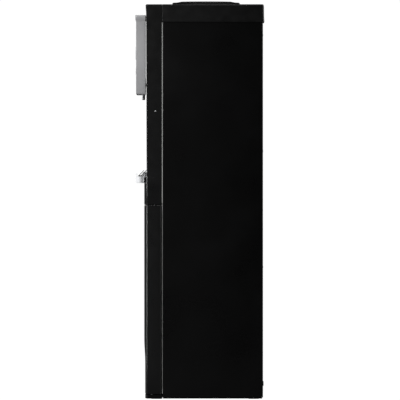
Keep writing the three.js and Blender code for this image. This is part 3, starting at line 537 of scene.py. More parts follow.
def studio():
    """A white background to the camera, and a dim room with softboxes to everything else."""
    world = bpy.data.worlds.new("studio")
    bpy.context.scene.world = world
    world.use_nodes = True
    tree = world.node_tree
    tree.nodes.clear()
    out, both = tree.nodes.new("ShaderNodeOutputWorld"), tree.nodes.new("ShaderNodeAddShader")
    room, paper = (tree.nodes.new("ShaderNodeBackground") for _ in range(2))
    room.inputs["Strength"].default_value = 0.03
    paper.inputs["Color"].default_value = WHITE
    tree.links.new(only_camera_rays(tree, 1.0), paper.inputs["Strength"])
    tree.links.new(room.outputs[0], both.inputs[0])
    tree.links.new(paper.outputs[0], both.inputs[1])
    tree.links.new(both.outputs[0], out.inputs["Surface"])


def softboxes():
    for name, (place, target, width, height, power) in SOFTBOXES.items():
        data = bpy.data.lights.new(name, "AREA")
        data.shape = "RECTANGLE"
        data.size, data.size_y, data.energy = width, height, power
        made = in_scene(name, data)
        made.location = place
        made.rotation_euler = (Vector(target) - Vector(place)).to_track_quat("-Z", "Y").to_euler()
        made.visible_camera = False
        if name in RECEIVERS:
            made.light_linking.receiver_collection = RECEIVERS[name]


def floor():
    radius = 2600
    turns = [2 * math.pi * k / 96 for k in range(96)]
    made = prism("floor", [(radius * math.cos(turn), radius * math.sin(turn)) for turn in turns], -20, 0)
    g = Graph("pale_floor")
    base = g.mix(g.span(g.noise(30.0, 3.0), 0.0, 1.0), rgba(0.13), rgba(0.16))
    made.data.materials.append(g.set(Base_Color=base, Roughness=0.9, Emission_Color=WHITE,
                                     Emission_Strength=only_camera_rays(g.tree, 0.96)))


# ---- folded sides and top of the cabinet

SHEET = 1.2
SIDE_TURN_IN = 12.0
SIDE_RADIUS = 3.0
SIDE_STEPS = 24            # levels up the side, so that it shades evenly
COVER_FLARE = 1.0
COVER_WALL = 2.2
WELL_RADIUS = 79.0         # of the opening that the bottle seat stands in


def steel_sides():
    notch_foot = low_high("top_cover")[0][2] - 0.4
    for side, node in ((-1, "side_panel_left"), (1, "side_panel_right")):
        low, high = low_high(node)
        outer = max(abs(low[0]), abs(high[0]))
        lip, inner = outer - SIDE_TURN_IN, outer - SHEET
        bend = [SIDE_RADIUS, SIDE_RADIUS]
        section = rounded([(lip, low[1]), (outer, low[1]), (outer, high[1]), (lip, high[1]),
                           (lip, high[1] - SHEET), (inner, high[1] - SHEET), (inner, low[1] + SHEET),
                           (lip, low[1] + SHEET)],
                          [0.3, *bend, 0.3, 0.3, *(radius - SHEET for radius in bend), 0.3])
        rise = (high[2] - low[2]) / SIDE_STEPS
        panel = loft(node + "_skin", [[(side * x, y, low[2] + rise * k) for x, y in section]
                                      for k in range(SIDE_STEPS + 1)])
        notch = block("notch", side * (outer + 1), side * (lip - 1), low[1] - 1, low[1] + 2.4,
                      notch_foot, high[2] + 1)
        done(cut(panel, notch), "black_steel", node, edge=0.25, angle=40)


def top_cover():
    low, high = low_high("top_cover")
    half, rear, front = high[0] - COVER_FLARE, high[1] - COVER_FLARE, low[1]
    bottom, top = low[2], high[2]

    def plan(grow, at_front=0.0):
        return rounded([(-half - grow, front + at_front), (half + grow, front + at_front),
                        (half + grow, rear + grow), (-half - grow, rear + grow)], [0.6, 0.6, 4.0, 4.0])

    levels = [(bottom, 0.7), (bottom + 0.6, COVER_FLARE), (bottom + 2.4, COVER_FLARE), (bottom + 4.5, 0.75),
              (bottom + 12, 0.4), (bottom + 25, 0.15), (top - 6, 0.0), (top - 2.6, -0.45), (top - 0.9, -1.5),
              (top, -3.4)]
    cover = loft("top_cover_skin", [[(x, y, z) for x, y in plan(grow)] for z, grow in levels])
    inside = prism("inside", plan(-COVER_WALL, COVER_WALL), bottom - 1, top - 3)
    place = (*middle("bottle_seat")[:2], 0)
    brim = top - 1.7
    inner = WELL_RADIUS - 0.5
    sleeve = revolve("sleeve", [(inner, 960), (82, 960), (86, top - 2), (inner, top - 2)], place)
    well = revolve("well", [(0, 950), (WELL_RADIUS, 950), (WELL_RADIUS, brim), (84.3, brim), (85.2, top + 1),
                            (0, top + 1)], place)
    done(cut(fuse(cut(cover, inside), sleeve), well), "black_plastic", "top_cover", edge=0.3)


def bottle_seat():
    low, high = low_high("bottle_seat")
    top, reach = high[2], high[0]
    ledge = low_high("top_cover")[1][2] + 0.4
    crest = rounded([(reach - 4, ledge), (reach - 1, ledge + 0.4), (reach, ledge + 2.2),
                     (reach - 2.4, top - 2.6), (reach - 12, top - 2.2), (62, top), (57, top), (54.5, top - 5)],
                    [0.5, 0.8, 1.2, 2.0, 14, 6, 3, 2], 5)
    inside = rounded([(28, 948), (12, 944), (12, low[2]), (30, low[2]), (73, 962), (77.5, 966),
                      (77.5, ledge)], [6, 1, 0.8, 4, 4, 3, 0.8], 4)
    seat = revolve("bottle_seat_funnel", crest + inside, (*middle("bottle_seat")[:2], 0), 128)
    matt = moulded("matt_black_moulding", 0.002, 0.003, 0.5, 1500.0, 0.2, 0.15)
    done(seat, "black_plastic", "bottle_seat", body="seat", edge=0.2, angle=40, material=matt)


def seat_gasket():
    low, high = low_high("seat_gasket")
    centre = (high[0] + WELL_RADIUS + 0.6) / 2
    profile = rectangle(centre - 2.1, centre + 2.1, low[2], high[2], 0.6, 4)
    ring = revolve("seat_gasket_ring", profile, (*middle("bottle_seat")[:2], 0), 128)
    done(ring, "silicone", "seat_gasket", edge=0.05)


def feed_probe():
    low, high = low_high("feed_probe")
    x, y, _ = middle("bottle_seat")
    bottom, top = low[2], high[2]
    outer = rounded([(6.5, bottom), (11, bottom), (11, 945.4), (15, 945.4), (15, 948.5), (11, 948.5),
                     (10.2, 979), (4.5, top), (0, top)], [0.4, 0.8, 0.4, 0.7, 0.7, 0.8, 4, 3, 0], 5)
    probe = revolve("feed_probe_tube", outer + [(0, top - 3.2), (6.5, 978)], (x, y, 0), 64)
    slot = rectangle(-2.5, 2.5, 961, 975, 2.2)
    cut(probe, along_y("slot", [(x + a, z) for a, z in slot], y - 20, y + 20),
        along_x("slot", [(y + a, z) for a, z in slot], x - 20, x + 20))
    done(probe, "white_plastic", "feed_probe", body="probe", edge=0.25)


# ---- front mouldings

WALL = 2.5
LOWER_BULGE = 5.6
UPPER_BULGE = 0.3
UPPER_CORNER_RADIUS = 1.6
LOWER_CORNER_RADIUS = 4.0
LEAN_FOOT, LEAN_HEAD = -132.8, -134.1      # front of the upper corners at the bay and at the fascia's top
LEAN_TOP = 960.0
TONGUE_DROP = 1.1
BOTTOM_TUCK = 2.3                          # how much less the door bows at its foot
TUCK_START, TUCK_END = 92.0, 150.0
PIN_HOLE = 3.35
TAP_Z = 786.0


def level(z, corner, bulge, inset=0.0):
    """One level of a bowed solid: z, half width, corner y, bulge, corner radius."""
    half = low_high("door_shell")[1][0]
    radius = UPPER_CORNER_RADIUS if bulge == UPPER_BULGE else LOWER_CORNER_RADIUS
    return z, half - inset, corner + inset, bulge, max(radius - inset, 0.6)


def bowed_levels(name, levels, rear):
    return loft(name, [[(x, y, z) for x, y in bowed(half, corner, bulge, rear, radius)]
                       for z, half, corner, bulge, radius in levels])


def upper_front_panel():
    low, high = low_high("upper_front_panel")
    bay_box = low_high("alcove_liner")
    corner = low[1] + LOWER_BULGE
    split, top, rear = low[2] + TONGUE_DROP, high[2], high[1]
    bay = bay_box[0][2] - 0.4

    def below(z, inset=0.0):
        return level(z, corner, LOWER_BULGE, inset)

    def lean(z):
        return LEAN_FOOT + (LEAN_HEAD - LEAN_FOOT) * (z - bay) / (LEAN_TOP - bay)

    levels = [below(split, 0.9), below(split + 0.35, 0.3), below(split + 1.0), below(bay - 1.6),
              below(bay - 0.6, 0.05), below(bay, 0.3)]
    levels += [level(z, lean(z), UPPER_BULGE) for z in (bay + 0.1, 600, 680, 760, 840, 900, LEAN_TOP)]
    levels += [level(z, lean(z) - forward, UPPER_BULGE)
               for z, forward in ((968, 0.1), (974, 0.55), (979, 0.95), (984.5, 1.15))]
    levels += [level(top - 1.1, lean(top) - 0.8, UPPER_BULGE, 0.4),
               level(top, lean(top) + 0.6, UPPER_BULGE, 1.6)]
    panel = bowed_levels("upper_front_moulding", levels, rear)
    tongue = bowed_levels("tongue", [below(low[2], 3.0), below(split + 1.6, 3.0)], rear)
    lower_inside = bowed_levels("inside", [below(split + WALL, WALL), below(bay - WALL, WALL)], rear + 5)
    upper_inside = bowed_levels("inside", [level(z, LEAN_FOOT + 0.8, UPPER_BULGE, WALL)
                                           for z in (bay - WALL - 1, top - WALL)], rear + 5)
    opening = along_y("opening", facing(bay_box, -0.4, 4.4), -150, -80)
    tap_holes = [rod("hole", 9, (middle(tap)[0], TAP_Z), -145, -120, "Y") for tap in ("hot_tap", "cold_tap")]
    pin_hole = rod("hole", PIN_HOLE, middle("hinge_pin_lower")[:2], 480, 495)
    cut(fuse(panel, tongue), lower_inside, upper_inside, opening, *tap_holes, pin_hole)
    done(panel, "black_plastic", "upper_front_panel", edge=0.3, angle=35)
    RECEIVERS["edge_strip"].objects.link(panel)


def alcove_liner():
    box = low_high("alcove_liner")
    mouth, rear = box[0][1], box[1][1]
    shell = along_y("alcove_shell", facing(box, 0, 4), mouth + 1.4, rear)
    places = ((mouth - 15, 0), (rear - 8, 0), (rear - 4.4, 0.9), (rear - 2.8, 3.0), (rear - 2.0, 6.5))
    cut(shell, loft("inside", [[(x, y, z) for x, z in facing(box, 2.0 + inset, 4)] for y, inset in places]))
    ribs = [along_y("rib", rectangle(x - 1.2, x + 1.2, 600, 735, 1.1), rear - 3.0, rear - 1.4)
            for x in range(-96, 97, 24)]
    fuse(shell, joined("ribs", ribs))
    done(shell, "gloss_black", "alcove_liner", edge=0.3)


FASCIA_RADIUS = 0.9
FASCIA_BULGE = 0.5
LIP_REACH = 2.15
LOCK_WINDOW_STEP = 5.8     # from the hot tap's left face to the middle of the lock's window


def control_fascia():
    low, high = low_high("control_fascia")
    half, rear, bottom, top = high[0], high[1], low[2], high[2]
    corner = low[1] + LIP_REACH + FASCIA_BULGE

    def step(z, inset):
        return z, half - inset, corner + inset, FASCIA_BULGE, max(FASCIA_RADIUS - inset, 0.4)

    levels = [step(z, inset) for z, inset in (
        (bottom, 2.4), (bottom + 0.7, 1.2), (bottom + 2.0, 0.4), (bottom + 4.5, 0.0), (850, 0.0),
        (942.5, 0.0), (945, -0.35), (948, -1.15), (951, -1.75), (955, -2.05), (top - 1.6, -LIP_REACH),
        (top - 0.5, -1.6), (top, -0.4))]
    fascia = bowed_levels("control_fascia_shell", levels, rear)
    cut(fascia, bowed_levels("inside", [step(bottom + WALL, WALL), step(top - WALL, WALL)], rear + 2))
    fuse(fascia, block("shelf", -half + 2, half - 2, rear - 0.6, rear + 0.85, 947, top - 0.6))
    x, z = low_high("hot_tap")[0][0] + LOCK_WINDOW_STEP, middle("child_lock_slider")[2]
    buttons = low_high("hot_button"), low_high("cold_button")
    bezels = [along_y("bezel", facing(box, -1.5, 8), -160.3, -158) for box in buttons]
    bezels.append(along_y("bezel", rectangle(x - 16, x + 16, z - 8, z + 8, 4), -160.0, -158))
    holes = [along_y("hole", facing(box, 2, 6), -165, -150) for box in buttons]
    holes.append(along_y("hole", rectangle(x - 12.4, x + 12.4, z - 4.4, z + 4.4, 1.5), -165, -150))
    for name in ("light_pipe_1", "light_pipe_2", "light_pipe_3"):
        holes.append(rod("hole", 2.4, middle(name)[::2], -165, -150, "Y"))
    for name in ("hot_nozzle", "cold_nozzle"):
        holes.append(rod("hole", 6, middle(name)[:2], 750, 770))
    fuse(fascia, joined("bezels", bezels))
    cut(fascia, joined("holes", holes))
    done(fascia, "silver_plastic", "control_fascia", edge=0.35, segments=3, angle=35)


def dispense_buttons():
    dish_radius = 70
    for node, body, slot in (("hot_button", "hot_button_body", "red_plastic"),
                             ("cold_button", "cold_button_body", "blue_plastic")):
        box = low_high(node)
        face, rear = box[0][1], box[1][1]
        x, _, z = middle(node)
        cap = along_y(node + "_cap", facing(box, 2.5, 5.6), face, face + 6)
        flange = along_y("flange", facing(box, 0, 7), face + 3.4, face + 6)
        stem = rod("stem", 4, (x, z), face + 5, rear, "Y")
        dish = rod("dish", dish_radius, (face + 1.1 - dish_radius, z), x - 13, x + 13, "X", 160)
        cut(fuse(cap, flange, stem), dish)
        done(cap, slot, node, body=body, edge=0.5, segments=3)


def child_lock_slider():
    box = low_high("child_lock_slider")
    face, rear = box[0][1], box[1][1]
    x, _, z = middle("child_lock_slider")
    knob = along_y("child_lock_knob", rectangle(x - 6, x + 6, z - 4, z + 4, 1.2), face, face + 6)
    keeper = along_y("keeper", facing(box, 0, 1), face + 4.2, rear)
    grooves = [block("groove", x + dx - 0.5, x + dx + 0.5, face - 1, face + 0.7, z - 5, z + 5)
               for dx in (-3.6, -1.8, 0, 1.8, 3.6)]
    cut(fuse(knob, keeper), joined("grooves", grooves))
    done(knob, "red_plastic", "child_lock_slider", body="lock_slider", edge=0.2)


def light_pipes():
    for name in ("light_pipe_1", "light_pipe_2", "light_pipe_3"):
        low, high = low_high(name)
        x, _, z = middle(name)
        face, radius = low[1], (high[0] - low[0]) / 2
        profile = [(0, face), (0.8, face + 0.12), (1.5, face + 0.55), (radius, face + 1.3), (radius, high[1]),
                   (0, high[1])]
        done(revolve(name + "_lens", profile, (x, 0, z), 32, "Y"), "silicone", name, edge=0.1)


def nozzles():
    shoulder = low_high("control_fascia")[0][2] + 0.6
    for name in ("hot_nozzle", "cold_nozzle"):
        low, high = low_high(name)
        profile = rounded([(2.4, low[2]), (3.8, low[2]), (3.8, shoulder), (5.6, shoulder + 1.2),
                           (5.6, high[2]), (2.4, high[2])], [0.4, 0.9, 0.6, 0.6, 0.6, 0.4], 5)
        spout = revolve(name + "_spout", profile, (*middle(name)[:2], 0), 64)
        done(spout, "chrome", name, edge=0.05)


# ---- drip tray and its grille

TRAY_CORNER = -141.0
TRAY_WALL = 2.2
BOWL_RIM = 556.5
BOWL_REAR = -139.5
BLADE_PITCH = 6.0
BLADE_THICKNESS = 1.3
GRILLE_GAP = 0.4           # between the tray's rim and the grille that lies on it


def tray_levels(name, levels, rear):
    low, high = low_high("drip_tray")
    bulge = TRAY_CORNER - low[1]
    return loft(name, [[(x, y, z) for x, y in bowed(high[0] - inset, TRAY_CORNER + inset, bulge, rear,
                                                    max(5 - inset, 1.0), 56)] for z, inset in levels])


def panel_front(name, grow, z0, z1):
    low, high = low_high("upper_front_panel")
    corner = low[1] + LOWER_BULGE
    return bowed_levels(name, [level(z, corner, LOWER_BULGE, -grow) for z in (z0, z1)], high[1])


def drip_tray():
    low, high = low_high("drip_tray")
    pan_floor = low_high("alcove_liner")[0][2] + 2.4
    bottom, lip, rim, rear = low[2], low[2] + 22, high[2], high[1]
    tray = tray_levels("drip_tray_bowl", [(bottom, 1.0), (bottom + 0.3, 0.4), (bottom + 1, 0.0),
                                          (bottom + 4, 0.0), (lip - 0.6, 0.0), (lip, 0.6)], -134)
    cut(tray, panel_front("clear", 1.0, 500, pan_floor - 2))
    fuse(tray, tray_levels("pan", [(pan_floor, 0.4), (pan_floor + 0.6, 0), (rim - 0.4, 0), (rim, 0.4)], rear))
    hollow = tray_levels("hollow", [(pan_floor + 2, TRAY_WALL), (rim + 6, TRAY_WALL)], rear - TRAY_WALL)
    bowl = tray_levels("bowl", [(bottom + 2.2, TRAY_WALL + 2.4), (bottom + 3.2, TRAY_WALL + 0.8),
                                (bottom + 5, TRAY_WALL), (pan_floor + 3, TRAY_WALL)], -130)
    cut(bowl, panel_front("wall", 3.2, 500, pan_floor + 2))
    cut(tray, hollow, bowl, block("low_rim", -140, 140, low[1] + 4.75, BOWL_REAR, BOWL_RIM, rim + 11))
    done(tray, "chrome", "drip_tray", body="tray", edge=0.45, segments=3, angle=35)
    RECEIVERS["tray_card"].objects.link(tray)


def drip_grille():
    low, high = low_high("drip_grille")
    tray_low, tray_high = low_high("drip_tray")
    bulge = TRAY_CORNER - tray_low[1]
    sump, top, seat = low[2], high[2], tray_high[2] + GRILLE_GAP
    front, rear, reach = low[1], high[1], high[0]
    wide = BLADE_THICKNESS * math.sqrt(2)
    slats = []
    y = front + 0.5
    while y < rear - 12:
        room = TRAY_CORNER + 3 - y
        half = reach if room <= 0 else min(reach, (reach - 3) * math.sqrt(max(0.0, 1 - room / bulge)))
        foot_z = sump if y < BOWL_REAR - BLADE_THICKNESS * 1.5 else seat
        foot_y, head_y = y + max(0.0, foot_z - sump), y + top - sump
        if half > 8 and head_y + wide < rear:
            outline = rounded([(foot_y, foot_z), (foot_y + wide, foot_z), (head_y + wide, top),
                               (head_y, top)], [0.2, 0.2, 0.5, 0.5], 3)
            slats.append(along_x("slat", outline, -half, half))
        y += BLADE_PITCH
    slats.append(along_x("rear_bar", rectangle(rear - 2.2, rear, seat, top, 0.6, 3), -reach, reach))
    grille = joined("drip_grille_slats", slats)
    end = rear - 0.5
    rail = [(front + 3, sump), (BOWL_REAR, sump), (BOWL_REAR, seat), (end, seat), (end, seat + 2.2),
            (BOWL_REAR - 2.5, seat + 2.2), (BOWL_REAR - 2.5, sump + 2.4), (front + 3, sump + 2.4)]
    side_start = TRAY_CORNER + 4
    side_rail = [(side_start, seat), (end, seat), (end, seat + 2.2), (side_start, seat + 2.2)]
    rails = [along_x("rail", rail, x - 1.2, x + 1.2) for x in (-86.5, 0, 86.5)]
    rails += [along_x("side_rail", side_rail, x - 1, x + 1) for x in (1.2 - reach, reach - 1.2)]
    fuse(grille, joined("rails", rails))
    done(grille, "gloss_black", "drip_grille", body="grille", edge=0.15, angle=40)


# ---- door

GRIP_FOOT, GRIP_HEAD = 388, 452    # heights of the hollow that is the door's grip
GRIP_WALL = 4
SWING_RADIUS = 6                   # of the door's rear corner, which turns past the cabinet


def door_level(z, inset=0.0):
    tuck = ease(z, TUCK_START, TUCK_END, BOTTOM_TUCK, 0.0)
    return level(z, low_high("door_shell")[0][1] + LOWER_BULGE, LOWER_BULGE - tuck, inset)


def door_shell():
    low, high = low_high("door_shell")
    bottom, top, rear, half = low[2], high[2], high[1], high[0]
    waist = [TUCK_START + (TUCK_END - TUCK_START) * k / 6 for k in range(7)]
    levels = [door_level(bottom, 0.9), door_level(bottom + 0.35, 0.3), door_level(bottom + 1)]
    levels += [door_level(z) for z in waist]
    levels += [door_level(top - 1), door_level(top - 0.1, 0.08), door_level(top, 0.25)]
    door = bowed_levels("door_outer_shell", levels, rear)
    inside = bowed_levels("inside", [door_level(z, WALL) for z in (bottom + WALL, *waist, top - WALL)],
                          rear + 5)
    cut(inside, block("corner", half - 13, half + 1, rear - 12, rear + 6, 0, 500))
    side, back = half - SWING_RADIUS, rear - SWING_RADIUS
    clear = block("clear", side, half + 1, back, rear + 1, 0, 500)
    cut(clear, rod("round", SWING_RADIUS, (side, back), -1, 501, sides=64))
    grip_box = block("grip_box", 2 - half, 17 - half, -122, rear, GRIP_FOOT - GRIP_WALL, GRIP_HEAD + GRIP_WALL)
    fuse(cut(door, inside), grip_box)
    grip = rectangle(-119, rear - GRIP_WALL, GRIP_FOOT, GRIP_HEAD, 7)
    cut(door, clear, along_x("grip", grip, -half - 1, 14 - half))
    cut(door, *(rod("hole", PIN_HOLE, middle("hinge_pin_lower")[:2], z, z + 30) for z in (0, top - 16)))
    done(door, "black_plastic", "door_shell", body="door", edge=0.35, segments=3, angle=35)
    RECEIVERS["edge_strip"].objects.link(door)


def door_inner_panel():
    box = low_high("door_inner_panel")
    (left, back, _), (_, face, _) = box
    panel = along_y("door_liner", facing(box, 0, 4), face - 2.2, face)
    pocket = along_y("pocket", rectangle(-112, 118, 60, 440, 14), back, face - 1)
    places = ((back + 2, 3.0), (back + 2.6, 1.2), (back + 4, 0.3), (face - 0.6, 0), (face + 4, -1.0))
    rings = [[(x, y, z) for x, z in rectangle(-110 + inset, 116 - inset, 62 + inset, 438 - inset, 12)]
             for y, inset in places]
    cut(fuse(panel, pocket), loft("hollow", rings))
    ribs = [along_y("rib", rectangle(x, x + 3, 84, 416, 1.4), back + 1.2, back + 3.2)
            for x in range(-92, 99, 38)]
    fuse(panel, joined("ribs", ribs))
    room = GRIP_WALL + 1
    cut(panel, block("grip_clear", left - 8, -137.6, -130, -90, GRIP_FOOT - room, GRIP_HEAD + room))
    done(panel, "white_plastic", "door_inner_panel", body="door", edge=0.4)


def frame_around(name, box, inset, width, radius, y0, y1):
    outer = along_y(name, facing(box, inset, radius), y0, y1)
    return cut(outer, along_y("inner", facing(box, inset + width, max(radius - width, 1)), y0 - 1, y1 + 1))


def door_gasket():
    box = low_high("door_gasket")
    front, rear = box[0][1], box[1][1]
    dark_rubber = frame_around("door_gasket_seal", box, 0, 9, 9, front, rear)
    for inset, radius in ((3, 6), (6, 4)):
        cut(dark_rubber, frame_around("groove", box, inset, 1.2, radius, rear - 0.9, rear + 1))
    done(dark_rubber, "rubber", "door_gasket", body="door", edge=0.25)


def hinge_pins():
    for name in ("hinge_pin_lower", "hinge_pin_upper"):
        low, high = low_high(name)
        radius = (high[0] - low[0]) / 2
        profile = rounded(rectangle(0, radius, low[2], high[2]), [0, 0.8, 0.8, 0], 4)
        pin = revolve(name + "_rod", profile, (*middle("hinge_pin_lower")[:2], 0), 48)
        done(pin, "stainless", name, edge=0.05)


# ---- lower cabinet and back

LINER_HALF_WIDTH = 142.0
LINER_WALL = 2.0
LINER_STEP = (-16, 202)    # Y and Z of the step over the compressor
SHELF_HEIGHTS = (300, 392)
VENT_FOOT, VENT_HEAD, VENT_PITCH = 796, 902, 12


def feet():
    for name in ("foot_front_left", "foot_front_right", "foot_rear_left", "foot_rear_right"):
        low, high = low_high(name)
        radius = (high[0] - low[0]) / 2
        profile = rounded([(0, 0), (radius - 1, 0), (radius, 1.5), (radius - 0.7, 4), (radius - 1.6, 4.4),
                           (radius - 1.6, 5.2), (radius - 1.2, 5.6), (radius - 2, high[2]), (0, high[2])],
                          [0, 0.6, 0.6, 0.3, 0.2, 0.2, 0.3, 0.6, 0], 4)
        pad = revolve(name + "_pad", profile, (*middle(name)[:2], 0), 64)
        done(pad, "rubber", name, edge=0.05)


def cabinet_liner():
    box = low_high("cabinet_liner")
    (_, mouth, bottom), (_, rear, height) = box
    floor_z, top, (step_y, step_z) = bottom + 1, height - 1.5, LINER_STEP

    def outline(inset, start):
        foot, ledge, step, back, head = (floor_z + inset, step_z + inset, step_y - inset, rear - inset,
                                         top - inset)
        return rounded([(start, foot), (step, foot), (step, ledge), (back, ledge), (back, head),
                        (start, head)], [0, 14 - inset, 10 + inset, 14 - inset, 14 - inset, 0], 8)

    half = LINER_HALF_WIDTH
    tub = along_x("cabinet_liner_tub", outline(0, mouth), -half, half)
    flange = along_y("flange", facing(box, 0, 3), mouth, mouth + LINER_WALL)
    hollow = along_x("hollow", outline(LINER_WALL, mouth - 3), LINER_WALL - half, half - LINER_WALL)
    cut(fuse(tub, flange), hollow)
    fuse(tub, *(block("runner", side * (half - 1), side * (half - 6), -60, rear - 6, z, z + 4)
                for z in SHELF_HEIGHTS for side in (-1, 1)))
    done(tub, "white_plastic", "cabinet_liner", edge=0.6, segments=3, angle=40)


def back_panel():
    low, high = low_high("back_panel")
    face = low[1]
    panel = block("back_panel_sheet", low[0], high[0], face, face + SHEET, low[2], high[2])
    fuse(panel, *(block("flange", side * high[0], side * (high[0] - SHEET), face, high[1], low[2], high[2])
                  for side in (-1, 1)))
    slots = [along_y("slot", rectangle(24, 118, z, z + 4.5, 2.2), face - 2, face + 4)
             for z in range(VENT_FOOT, VENT_HEAD, VENT_PITCH)]
    cut(panel, joined("slots", slots), rod("hole", 8, (0, middle("drain_spout")[2]), face - 5, face + 8, "Y"))
    beads = [along_y("bead", rectangle(x - 3, x + 3, 260, 770, 2.9), face + 0.6, face + SHEET + 0.28)
             for x in (-126, 0, 126)]
    fuse(panel, joined("beads", beads))
    done(panel, "galvanised", "back_panel", edge=0.25, angle=40)


COIL_RUNS = 12
COIL_PITCH = 46.0
COIL_FOOT = 240.0
COIL_TOP = COIL_FOOT + COIL_PITCH * (COIL_RUNS - 1)
COIL_REACH = 112.0
COIL_Y = 142.0
WIRE_STEP = 3.2            # from the coil's plane to the wires on either side of it


def condenser():
    bend = COIL_PITCH / 2
    path = []
    for i in range(COIL_RUNS):
        side, z = (1 if i % 2 == 0 else -1), COIL_FOOT + i * COIL_PITCH
        path += [(side * x, COIL_Y, z) for x in (-COIL_REACH, 0, COIL_REACH)]
        if i < COIL_RUNS - 1:
            turns = [-math.pi / 2 + math.pi * k / 6 for k in (1, 2, 3, 4, 5)]
            path += [(side * (COIL_REACH + bend * math.cos(turn)), COIL_Y, z + bend + bend * math.sin(turn))
                     for turn in turns]
    done(tube("condenser_tube", path, 2.5, smooth=4), "black_steel", "condenser_coil", edge=0.05)
    wires = [rod("wire", 0.7, (x, y), COIL_FOOT - 6, COIL_TOP + 6, sides=6)
             for x in range(-105, 106, 7) for y in (COIL_Y - WIRE_STEP, COIL_Y + WIRE_STEP)]
    done(joined("condenser_wires", wires), "black_steel", edge=0.05)


def compressor():
    low, high = low_high("compressor")
    x, y, _ = middle("compressor")
    shell = rounded([(0, 32), (50, 32), (60, 42), (61, 92), (64.2, 92.5), (64.2, 96.5), (61.5, 97.5),
                     (60, 128), (44, 155), (0, 160)], [0, 12, 16, 1, 0.6, 0.6, 1.5, 26, 26, 0], 8)
    can = revolve("compressor_can", shell, (x, y, 0))
    plate = prism("plate", rectangle(low[0], high[0], low[1] + 14, high[1] - 14, 12), low[2], low[2] + 5)
    fuse(can, plate, rod("stub", 5, (x - 30, y), 146, high[2]))
    done(can, "black_steel", "compressor", edge=0.4, angle=40)


def pipework():
    low, high = low_high("filter_drier")
    foot, head = low[2], high[2]
    profile = rounded([(0, foot), (3, foot), (3, foot + 8), (9, foot + 17), (9, head - 17), (3, head - 8),
                       (3, head), (0, head)], [0, 0.5, 2, 5, 5, 2, 0.5, 0], 5)
    drier = revolve("filter_drier_body", profile, (*middle("filter_drier")[:2], 0), 48)
    done(drier, "copper", "filter_drier", edge=0.05)
    routes = {
        "discharge_line": (2.4, [(-30, 62, 173), (-36, 80, 180), (-80, 112, 176), (-112, 121, 205),
                                 *((-134, 121.5, z) for z in (260, 500, 730, COIL_TOP))]),
        "drier_line": (2.4, [(108, 100, 189), (106, 106, 180), (70, 118, 172), (20, 121, 170),
                             (-20, 121, 171)]),
        "capillary_tube": (1.2, [(108, 100, 276), (108, 100, 330), (107, 98, 480), (104, 92, 640),
                                 (98, 78, 740), (93, 62, 776)]),
        "suction_line": (3.6, [(-70, 60, 775), (-72, 80, 700), (-74, 92, 600), (-74, 92, 300), (-66, 84, 215),
                               (-45, 70, 184)]),
    }
    for name, (radius, route) in routes.items():
        done(tube(name, route, radius), "copper", edge=0.05)


def hoses():
    to_tap = [(104, 784), (108, 786), (114.8, 786)]     # distance forward and height, the same for both taps
    routes = {
        "cold_hose": [(-35, -22, 782.4), (-35, -22, 777), (-37, -38, 771), (-43, -84, 771.5),
                      *((-45, -y, z) for y, z in to_tap)],
        "hot_hose": [(28, 50, 744.6), (28, 50, 751), (29, 36, 760), (34, -30, 769), (42, -84, 771.5),
                     *((45, -y, z) for y, z in to_tap)],
        "feed_hose": [(72, 60, 778), (72, 60, 740), (72, 52, 660), (66, 50, 622), (51, 50, 622)],
        "drain_hose": [(0, 50, 590.4), (0, 50, 580), (0, 84, 545), (0, 92, 500), (0, 92, 280), (0, 108, 208),
                       (0, 120.4, 208)],
    }
    for name, route in routes.items():
        done(tube(name + "_tube", route, 4.3, 16), "silicone", name, edge=0.05)


def evaporator():
    low, high = low_high("evaporator_coil")
    x, y, _ = middle("evaporator_coil")
    radius = (high[0] - low[0]) / 2 - 2.8
    foot, rise, steps = 815, 15, 24
    turns = [2 * math.pi * k / steps for k in range(4 * steps + 1)]
    path = [(x + radius * math.cos(turn), y + radius * math.sin(turn), foot + rise * turn / (2 * math.pi))
            for turn in turns]
    coil = tube("evaporator_winding", path, 2.6, smooth=3)
    done(coil, "copper", "evaporator_coil", edge=0.05)


def electrics():
    low, high = low_high("relay_cover")
    cover = prism("relay_cover_box", rectangle(low[0], high[0], low[1], high[1], 4), low[2], high[2])
    done(cover, "black_plastic", "relay_cover", edge=1.5, segments=4)
    box = low_high("switch_plate")
    start, end = box[0][1], box[1][1]
    plate = along_y("switch_plate_moulding", facing(box, 0, 6), start, end)
    for name, body in (("hot_switch", "hot_rocker"), ("cold_switch", "cold_rocker")):
        low, high = low_high(name)
        x, _, z = middle(name)
        cut(plate, along_y("well", rectangle(x - 8, x + 8, z - 13, z + 13, 1), start + 1.5, end + 2))
        back, face = low[1], high[1]
        outline = rounded([(back, z - 7), (face - 1.4, low[2]), (face, low[2]), (face - 1.2, z),
                           (face, high[2]), (face - 1.4, high[2]), (back, z + 7)],
                          [0.5, 0.5, 0.4, 14, 0.4, 0.5, 0.5], 5)
        done(along_x(name + "_rocker", outline, low[0], high[0]), SLOT_OF[name], name, body=body, edge=0.4)
    done(plate, "black_plastic", "switch_plate", edge=0.8, segments=3)


